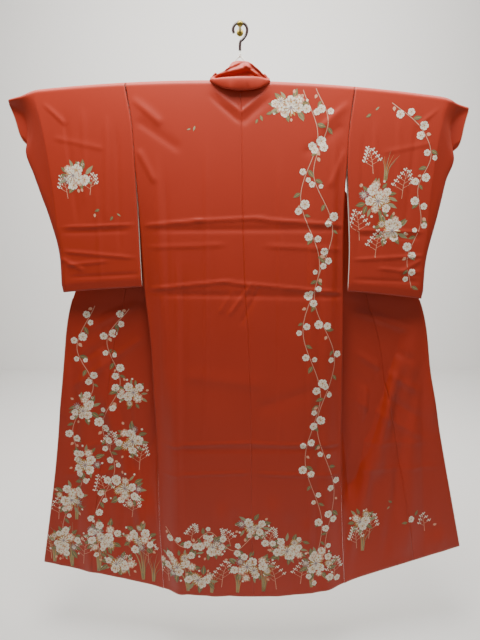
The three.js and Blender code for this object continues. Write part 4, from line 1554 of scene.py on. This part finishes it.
class Painter:
    """Lays flat motifs on the silk, a little above it, and makes one piece of each dye.

    The first coat stands LIFT above the silk and each further one STEP, in mm. The motifs come from
    FROM metres away, and a cell that would span a gap deeper than TORN metres is left out.
    """

    LIFT = 0.22
    STEP = 0.1
    TORN = 0.006
    FROM = 0.4

    def __init__(self, panels: dict[str, Panel]) -> None:
        """Prepares the silk's surfaces.

        Args:
            panels: the panels, by name.
        """
        self.panels = panels
        self.scatter = Scatter()
        self.trees: dict[tuple[str, ...], BVHTree] = {}
        self.made: dict[Dye, list[Flat]] = {dye: [] for dye in Dye}

    def tree(self, names: Sequence[str]) -> BVHTree:
        """Finds the surface of some panels.

        Args:
            names: the panels' names.

        Returns:
            A tree of their faces.
        """
        key = tuple(names)
        if key not in self.trees:
            meshes = [self.panels[name].piece.data for name in names]
            verts, faces = joined(
                ([tuple(v.co) for v in mesh.vertices], [list(p.vertices) for p in mesh.polygons])
                for mesh in meshes
            )
            self.trees[key] = BVHTree.FromPolygons(verts.tolist(), faces)
        return self.trees[key]

    def lay(self, flat: Flat, dye: Dye, layer: int, cluster: Cluster) -> None:
        """Lifts a flat shape on to the silk.

        Args:
            flat: its points in mm, x and height, and faces.
            dye: its colour.
            layer: how many coats lie under it.
            cluster: what it belongs to.
        """
        tree = self.tree(cluster.pieces)
        way = -1.0 if cluster.behind else 1.0
        height = (self.LIFT + self.STEP * layer) * MM
        lifted, good = [], []
        for x, z in flat[0].tolist():
            hit, normal, _, _ = tree.ray_cast(Vector((x * MM, -self.FROM * way, z * MM)), Vector((0, way, 0)))
            good.append(hit is not None)
            if hit is None:
                lifted.append((0.0, 0.0, 0.0))
                continue
            if normal.y * way > 0:
                normal = -normal
            lifted.append(tuple(hit + normal * height))
        points = np.array(lifted)
        faces = [
            cell[::-1] if cluster.behind else cell
            for cell in flat[1]
            if all(good[i] for i in cell) and np.ptp(points[cell, 1]) <= self.TORN
        ]
        self.made[dye].append((points, faces))

    def paint(self, cluster: Cluster, seed: int) -> None:
        """Paints a cluster.

        Args:
            cluster: what to paint.
            seed: fixes the small differences.
        """
        for dye, first, last, points in cluster.stems:
            self.lay(ribbon(curve(points), first, last), dye, 0, cluster)
        for kind in sorted({mark[0] for mark in cluster.marks}):
            marks = [mark[1:] for mark in cluster.marks if mark[0] == kind]
            rows = np.array([[x, z, math.radians(turn), size] for x, z, turn, size in marks])
            for motif in WHOLE[kind]:
                _, dye, layer, _ = motif.value
                self.lay(self.scatter.spread(motif, rows, seed), dye, layer, cluster)
        log.info("%s: %d stems and %d marks painted", cluster.name, len(cluster.stems), len(cluster.marks))

    def finish(self) -> None:
        """Makes the pieces, one for each dye."""
        for dye, parts in self.made.items():
            points, faces = joined(parts)
            used = sorted({i for cell in faces for i in cell})
            place = {old: new for new, old in enumerate(used)}
            faces = [[place[i] for i in cell] for cell in faces]
            piece = finished("painted_" + dye.name.lower(), points[used], faces, dye.value)
            log.info("%s: %d faces", piece.name, len(faces))


BACK_VINE = [
    (178, -172), (222, -300), (176, -470), (236, -660), (190, -860), (248, -1060), (204, -1270), (262, -1480),
    (228, -1690),
]
SIDE_VINE = [
    (214, -168), (250, -260), (212, -400), (272, -560), (222, -760), (290, -950), (240, -1160), (300, -1370),
    (274, -1560), (306, -1680),
]
FRONT_VINE = [
    (-346, -800), (-420, -900), (-384, -1040), (-446, -1180), (-410, -1330), (-476, -1480), (-460, -1640),
]
OUTER_VINE = [
    (-452, -790), (-512, -920), (-468, -1050), (-540, -1190), (-512, -1350), (-582, -1500), (-592, -1640),
]
SLEEVE_VINE = [(430, -206), (512, -270), (548, -350), (516, -440), (530, -540), (496, -640), (512, -730)]
HEM_VINE = [(-240, -1500), (-170, -1562), (-96, -1510), (-20, -1576), (60, -1516), (130, -1590), (200, -1540)]


def clusters() -> list[Cluster]:
    """Draws what is painted.

    Returns:
        The clusters.
    """
    back = Cluster("back", ("back_left", "back_right"))
    back.vine(BACK_VINE, 94)
    back.vine(SIDE_VINE, 108, 11.5)
    back.vine(HEM_VINE, 66, 11, Dye.PEACH)
    back.fill((
        (140, -214, 44, 26, 8), (-196, -1618, 58, 42, 11), (-96, -1560, 40, 30, 7), (34, -1630, 66, 40, 12),
        (40, -1490, 42, 26, 7), (156, -1570, 46, 36, 8), (254, -1622, 46, 40, 9), (-128, -1674, 40, 22, 6),
    ), (
        (-60, -1700, 88, 20), (118, -1706, 96, -24), (-232, -1690, 70, -10), (196, -1690, 80, 16),
        (-30, -1560, 60, -26), (92, -1560, 64, 18), (-156, -1540, 54, 14), (306, -1680, 74, 6),
    ), (
        (-168, -1716, 120, 9, -14), (-8, -1720, 96, 8, 10), (76, -1716, 128, 9, 14),
        (232, -1700, 112, 8, -12), (-92, -1718, 84, 7, 12),
    ), 97)
    back.marks += [
        ("leaf", 92, -232, 200, 20), ("pale", -128, -268, 250, 16), ("leaf", 58, -240, 290, 17),
        ("leaf", 50, -250, 240, 13), ("pale", -140, -276, 190, 12),
    ]

    left = Cluster("left_front", ("front_left", "okumi_left"))
    left.vine(FRONT_VINE, 64, 12.5)
    left.vine(OUTER_VINE, 70, 12)
    left.fill((
        (-346, -1078, 36, 40, 7), (-500, -1120, 34, 34, 6), (-356, -1230, 38, 44, 8),
        (-500, -1300, 40, 44, 8), (-372, -1400, 48, 46, 10), (-556, -1424, 40, 44, 8),
        (-330, -1560, 46, 44, 9), (-452, -1556, 52, 48, 11), (-580, -1580, 46, 44, 9),
        (-400, -1650, 50, 24, 7),
    ), (
        (-330, -1330, 84, 16), (-440, -1440, 90, -20), (-600, -1500, 80, 14), (-300, -1640, 92, -8),
        (-520, -1650, 96, 20), (-424, -1270, 70, 16), (-630, -1640, 84, -8), (-356, -1490, 76, 22),
        (-366, -1690, 70, -14),
    ), (
        (-320, -1700, 150, 9, -14), (-470, -1676, 140, 9, 16), (-560, -1664, 160, 9, -20),
        (-620, -1650, 110, 7, 6), (-286, -1704, 100, 6, 8), (-540, -1500, 90, 6, 10),
    ), 89)

    right = Cluster("right_front", ("front_right", "okumi_right"))
    right.bouquet(398, -1496, 30, 26, 5, 4)
    right.spray(424, -1560, 84, 14)
    right.spray(384, -1590, 70, -10)
    right.tuft(404, -1600, 90, 7, 8)
    right.spray(612, -1540, 60, -12, 6)
    right.marks += [
        ("plum", 560, -1490, 10, 11), ("leaf", 574, -1480, 60, 20), ("leaf", 548, -1500, 200, 18),
        ("bud", 640, -1520, 20, 12), ("leaf", 500, -1440, 150, 16), ("pale", 492, -1452, 230, 14),
    ]

    left_sleeve = Cluster("left_sleeve", ("sleeve_left_back",))
    left_sleeve.bouquet(-474, -406, 36, 28, 7, 9)
    left_sleeve.spray(-500, -470, 62, -14, 7)
    left_sleeve.spray(-436, -460, 58, 16, 7)
    left_sleeve.marks += [
        ("leaf", -372, -520, 240, 16), ("pale", -360, -512, 320, 13), ("leaf", -410, -500, 200, 15),
        ("bud", -424, -512, 260, 11),
    ]

    right_sleeve = Cluster("right_sleeve", ("sleeve_right_back",))
    right_sleeve.vine(SLEEVE_VINE, 72, 12)
    right_sleeve.bouquet(398, -470, 46, 40, 10, 5)
    right_sleeve.bouquet(440, -556, 38, 30, 7, 12)
    sprays = ((352, -590, 84, -12), (470, -470, 80, 14), (384, -400, 70, -14), (400, -640, 76, 12))
    right_sleeve.fill((), sprays, ((420, -420, 84, 7, 12),), 1)
    right_sleeve.marks += [("leaf", 372, -236, 210, 17), ("pale", 384, -226, 40, 14)]

    left_behind = Cluster("left_sleeve_behind", ("sleeve_left_front",), behind=True)
    left_behind.bouquet(-430, -440, 40, 32, 7, 3)
    left_behind.spray(-400, -540, 80, 14)
    left_behind.tuft(-450, -560, 100, 6, 12)

    right_behind = Cluster("right_sleeve_behind", ("sleeve_right_front",), behind=True)
    right_behind.bouquet(420, -470, 44, 36, 9, 8)
    right_behind.spray(460, -590, 84, -12)
    right_behind.tuft(396, -600, 110, 6, 12)
    return [back, left, right, left_sleeve, right_sleeve, left_behind, right_behind]


# ---------------------------------------------------------------- edges, cord, hook
@dataclass(frozen=True)
class EdgeRolls:
    """The lining's thin roll that shows along hems, wrists and free edges.

    Attributes:
        panels: the panels, by name.
        radius: the roll's half width, in mm.
        away: how far its middle stands out from the edge.
    """

    panels: dict[str, Panel]
    radius: float = 1.1
    away: float = 0.9

    def build(self) -> None:
        """Makes the rolls."""
        sides = [side.word for side in Side]
        rows = [(f"{kind}_{side}", "bottom") for kind in ("back", "front", "okumi") for side in sides]
        rows += [(f"okumi_{side}", "end") for side in sides]
        rows += [(f"sleeve_{side}_{layer}", "end") for side in sides for layer in ("back", "front")]
        for name, where in rows:
            panel = self.panels[name]
            line, vs = panel.edges[where], panel.shares()[1]
            if name.startswith("sleeve"):
                line = line[(vs > 14) & (vs < CUFF)]
            elif where == "end":
                line = line[vs > COLLAR_END + 6]
            way = (0, 0, -self.away) if where == "bottom" else (self.away * panel.side.value, 0, 0)
            verts, faces = tube((line + way)[::2], self.radius, 6)
            finished(f"edge_{name}_{where}", verts * MM, faces, EDGE)


@dataclass(frozen=True)
class Seams:
    """Sewing and turned cloth that close the narrow gaps between pieces.

    Attributes:
        panels: the panels, by name.
        thin: a plain seam's half width, in mm.
        shoulder: that of a seam along the top.
        closing: that of the sleeve's closed edges.
        neck: that of the cloth turned in under the collar.
    """

    panels: dict[str, Panel]
    thin: float = 0.5
    shoulder: float = 0.68
    closing: float = 1.0
    neck: float = 2.1

    def lines(self) -> Iterable[tuple[np.ndarray, float]]:
        """Finds the seams.

        Yields:
            Each seam's middle line and its half width, in mm.
        """
        edges = {name: panel.edges for name, panel in self.panels.items()}
        yield edges["collar_neck"]["top"] + (0, 0.6, -1.9), self.neck
        yield (edges["back_left"]["start"] + edges["back_right"]["start"]) / 2, self.thin
        for side in Side:
            yield edges[f"okumi_{side.word}"]["start"] - (side.value * SEAM / 2, 0, 0), self.thin
            x = side.value * np.linspace(NECK_HALF + 1, SHOULDER_HALF - 1, 60)
            yield np.stack([x, 0 * x + ROD_Y, rod_height(x) + OVER_ROD], -1), self.shoulder
            back, front = edges[f"sleeve_{side.word}_back"], edges[f"sleeve_{side.word}_front"]
            yield (back["top"] + front["top"]) / 2, self.shoulder
            yield (back["bottom"] + front["bottom"]) / 2, self.closing
            closed = self.panels[f"sleeve_{side.word}_back"].shares()[1] > CUFF + 12
            yield ((back["end"] + front["end"]) / 2)[closed], self.closing

    def build(self) -> None:
        """Makes them as one piece."""
        tubes("seams", (tube(line, radius, 6) for line, radius in self.lines()), SILK, "silk")


@dataclass(frozen=True)
class TwistedCord:
    """The hanger's cord: three strands laid together, and the knot under the hook.

    Attributes:
        radius: from the cord's middle to a strand's, in mm.
        strand: a strand's half width.
        pitch: the length of one turn.
        head: the height of the legs' upper ends.
        apart: how far from the middle they are.
        foot: how far from the middle the lower ends are.
        above: how far these are above the rod's axis.
    """

    radius: float = 0.85
    strand: float = 0.85
    pitch: float = 9.0
    head: float = -80.8
    apart: float = 3.0
    foot: float = 70.0
    above: float = 12.7

    def leg(self, side: Side) -> None:
        """Makes a leg of the cord.

        Args:
            side: which leg.
        """
        head = np.array([side.value * self.apart, ROD_Y, self.head])
        foot_x = side.value * self.foot
        foot = np.array([foot_x, ROD_Y, float(rod_height(np.array(foot_x))) + self.above])
        long = np.linalg.norm(foot - head)
        run = (foot - head) / long
        across = np.array([0.0, 1.0, 0.0])
        over = np.cross(run, across)
        t = np.linspace(0, long, 110)
        parts = []
        for k in range(3):
            turn = 2 * math.pi * (t / self.pitch + k / 3)
            ring = np.cos(turn)[:, None] * across + np.sin(turn)[:, None] * over
            parts.append(tube(head + t[:, None] * run + self.radius * ring, self.strand, 7))
        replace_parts(tubes(f"cord_{side.word}_twisted", parts, COTTON, COTTON.name), f"cord_{side.word}")

    def knot(self) -> None:
        """Makes the knot: turns of the cord round its own end."""
        parts = []
        for z, tilt in ((-74.6, 0.25), (-77.4, -0.2), (-80.0, 0.15)):
            a = np.linspace(0, 2 * math.pi, 30)
            ring = np.stack([2.2 * np.cos(a), ROD_Y + 2.2 * np.sin(a), z + tilt * 2.2 * np.cos(a)], -1)
            parts.append(tube(ring, 1.5, 8))
        rise = np.array([[0.0, ROD_Y, -81.0], [0.3, ROD_Y, -76.0], [-0.3, ROD_Y, -70.0], [0.0, ROD_Y, -64.2]])
        parts.append(tube(rise, 1.6, 8))
        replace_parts(tubes("cord_knot_turns", parts, COTTON, COTTON.name), "cord_knot")

    def build(self) -> None:
        """Makes both legs and the knot."""
        for side in Side:
            self.leg(side)
        self.knot()


class HardPart(Enum):
    """The rod, its hook and the wall hook keep their solids and take a finish."""

    ROD = ("hanger_rod", WOOD)
    HOOK = ("hanger_hook", LACQUER)
    WALL_HOOK = ("wall_hook", BRASS)

    def build(self) -> None:
        """Gives it its finish."""
        name, finish = self.value
        materials = bpy.data.objects[name].data.materials
        materials.clear()
        materials.append(finish.make())
        log.info("%s: %s", name, finish.name)


# ---------------------------------------------------------------- room
@dataclass(frozen=True)
class Studio:
    """A pale room, soft light from above, and the camera.

    Attributes:
        floor_z: the floor's height.
        wall_y: how far behind the part the far wall stands.
        wide: half the room's width.
        high: the far wall's height.
        eye: the camera's place.
        tilt: its turn up from looking straight down, in degrees.
        lens: its focal length, in mm.
    """

    floor_z: float = -1.95
    wall_y: float = 3.6
    wide: float = 22.0
    high: float = 14.0
    eye: Row = (0, -1.495, -0.602)
    tilt: float = 81.1
    lens: float = 27.06

    def plane(self, name: str, corners: list[Row]) -> None:
        """Adds a plane of the room.

        Args:
            name: its name.
            corners: its corners.
        """
        mesh = bpy.data.meshes.new(name)
        mesh.from_pydata(corners, [], [[0, 1, 2, 3]])
        mesh.materials.append(Finish("room_plaster", (0.88, 0.875, 0.86), 0.9).make())
        placed(name, mesh)

    def light(self, name: str, place: Row, aim: Row, size: float, power: float) -> None:
        """Adds a soft lamp.

        Args:
            name: its name.
            place: where it is.
            aim: what it points at.
            size: its width.
            power: its power.
        """
        lamp = bpy.data.lights.new(name, "AREA")
        lamp.size, lamp.energy, lamp.color = size, power, (1.0, 0.97, 0.93)
        holder = placed(name, lamp)
        holder.location = place
        holder.rotation_euler = (Vector(aim) - Vector(place)).to_track_quat("-Z", "Y").to_euler()

    def build(self) -> None:
        """Builds the room, the light and the camera."""
        z, y, w, h = self.floor_z, self.wall_y, self.wide, self.high
        self.plane("floor", [(-w, -w, z), (w, -w, z), (w, y, z), (-w, y, z)])
        self.plane("far_wall", [(-w, y, z), (w, y, z), (w, y, h), (-w, y, h)])
        self.light("window_above", (-0.12, -0.75, 1.05), (0, 0, -0.9), 0.9, 50)
        self.light("room_fill", (1.2, -3.0, 0.3), (0, 0, -1.0), 2.0, 7)
        self.light("wall_wash", (0, 0.6, 1.6), (0, 3.6, -0.1), 3.4, 260)
        world = bpy.data.worlds.new("pale_room")
        bpy.context.scene.world = world
        world.use_nodes = True
        tree = Tree(world.node_tree)
        seen = tree.node("ShaderNodeLightPath")[0]
        inputs = {"Color": (1.0, 0.98, 0.95, 1), "Strength": seen * 0.5 + 0.1}
        glow = tree.node("ShaderNodeBackground", inputs)[0]
        tree.node("ShaderNodeOutputWorld", {"Surface": glow})
        lens = bpy.data.cameras.new("camera")
        lens.lens, lens.sensor_width = self.lens, 36
        camera = placed("camera", lens)
        camera.location = self.eye
        camera.rotation_euler = (math.radians(self.tilt), 0, 0)
        bpy.context.scene.camera = camera


def panels() -> dict[str, Panel]:
    """Lists the panels of the kimono.

    Returns:
        The panels, by the name of the solid that each stands for.
    """
    made: list[Panel] = []
    for side in Side:
        out = -side.value
        made += [
            BackPanel(f"back_{side.word}", side, outside=out),
            FrontPanel(f"front_{side.word}", side, outside=out),
            Overlap(f"okumi_{side.word}", side, outside=out),
            SleeveLayer(f"sleeve_{side.word}_back", side, outside=out, layer=1),
            SleeveLayer(f"sleeve_{side.word}_front", side, outside=-out, layer=-1),
            FrontCollar(f"collar_{side.word}", side, outside=-out),
        ]
    made.append(NeckCollar("collar_neck", Side.RIGHT, outside=1))
    return {panel.name: panel for panel in made}


def main() -> None:
    """Builds the dressed kimono and its room."""
    logging.basicConfig(level=logging.INFO, format="%(name)s: %(message)s")
    cloth = panels()
    for panel in cloth.values():
        panel.build()
    painter = Painter(cloth)
    for seed, cluster in enumerate(clusters()):
        painter.paint(cluster, seed)
    painter.finish()
    EdgeRolls(cloth).build()
    Seams(cloth).build()
    TwistedCord().build()
    for part in HardPart:
        part.build()
    Studio().build()


if __name__ == "__main__":
    main()
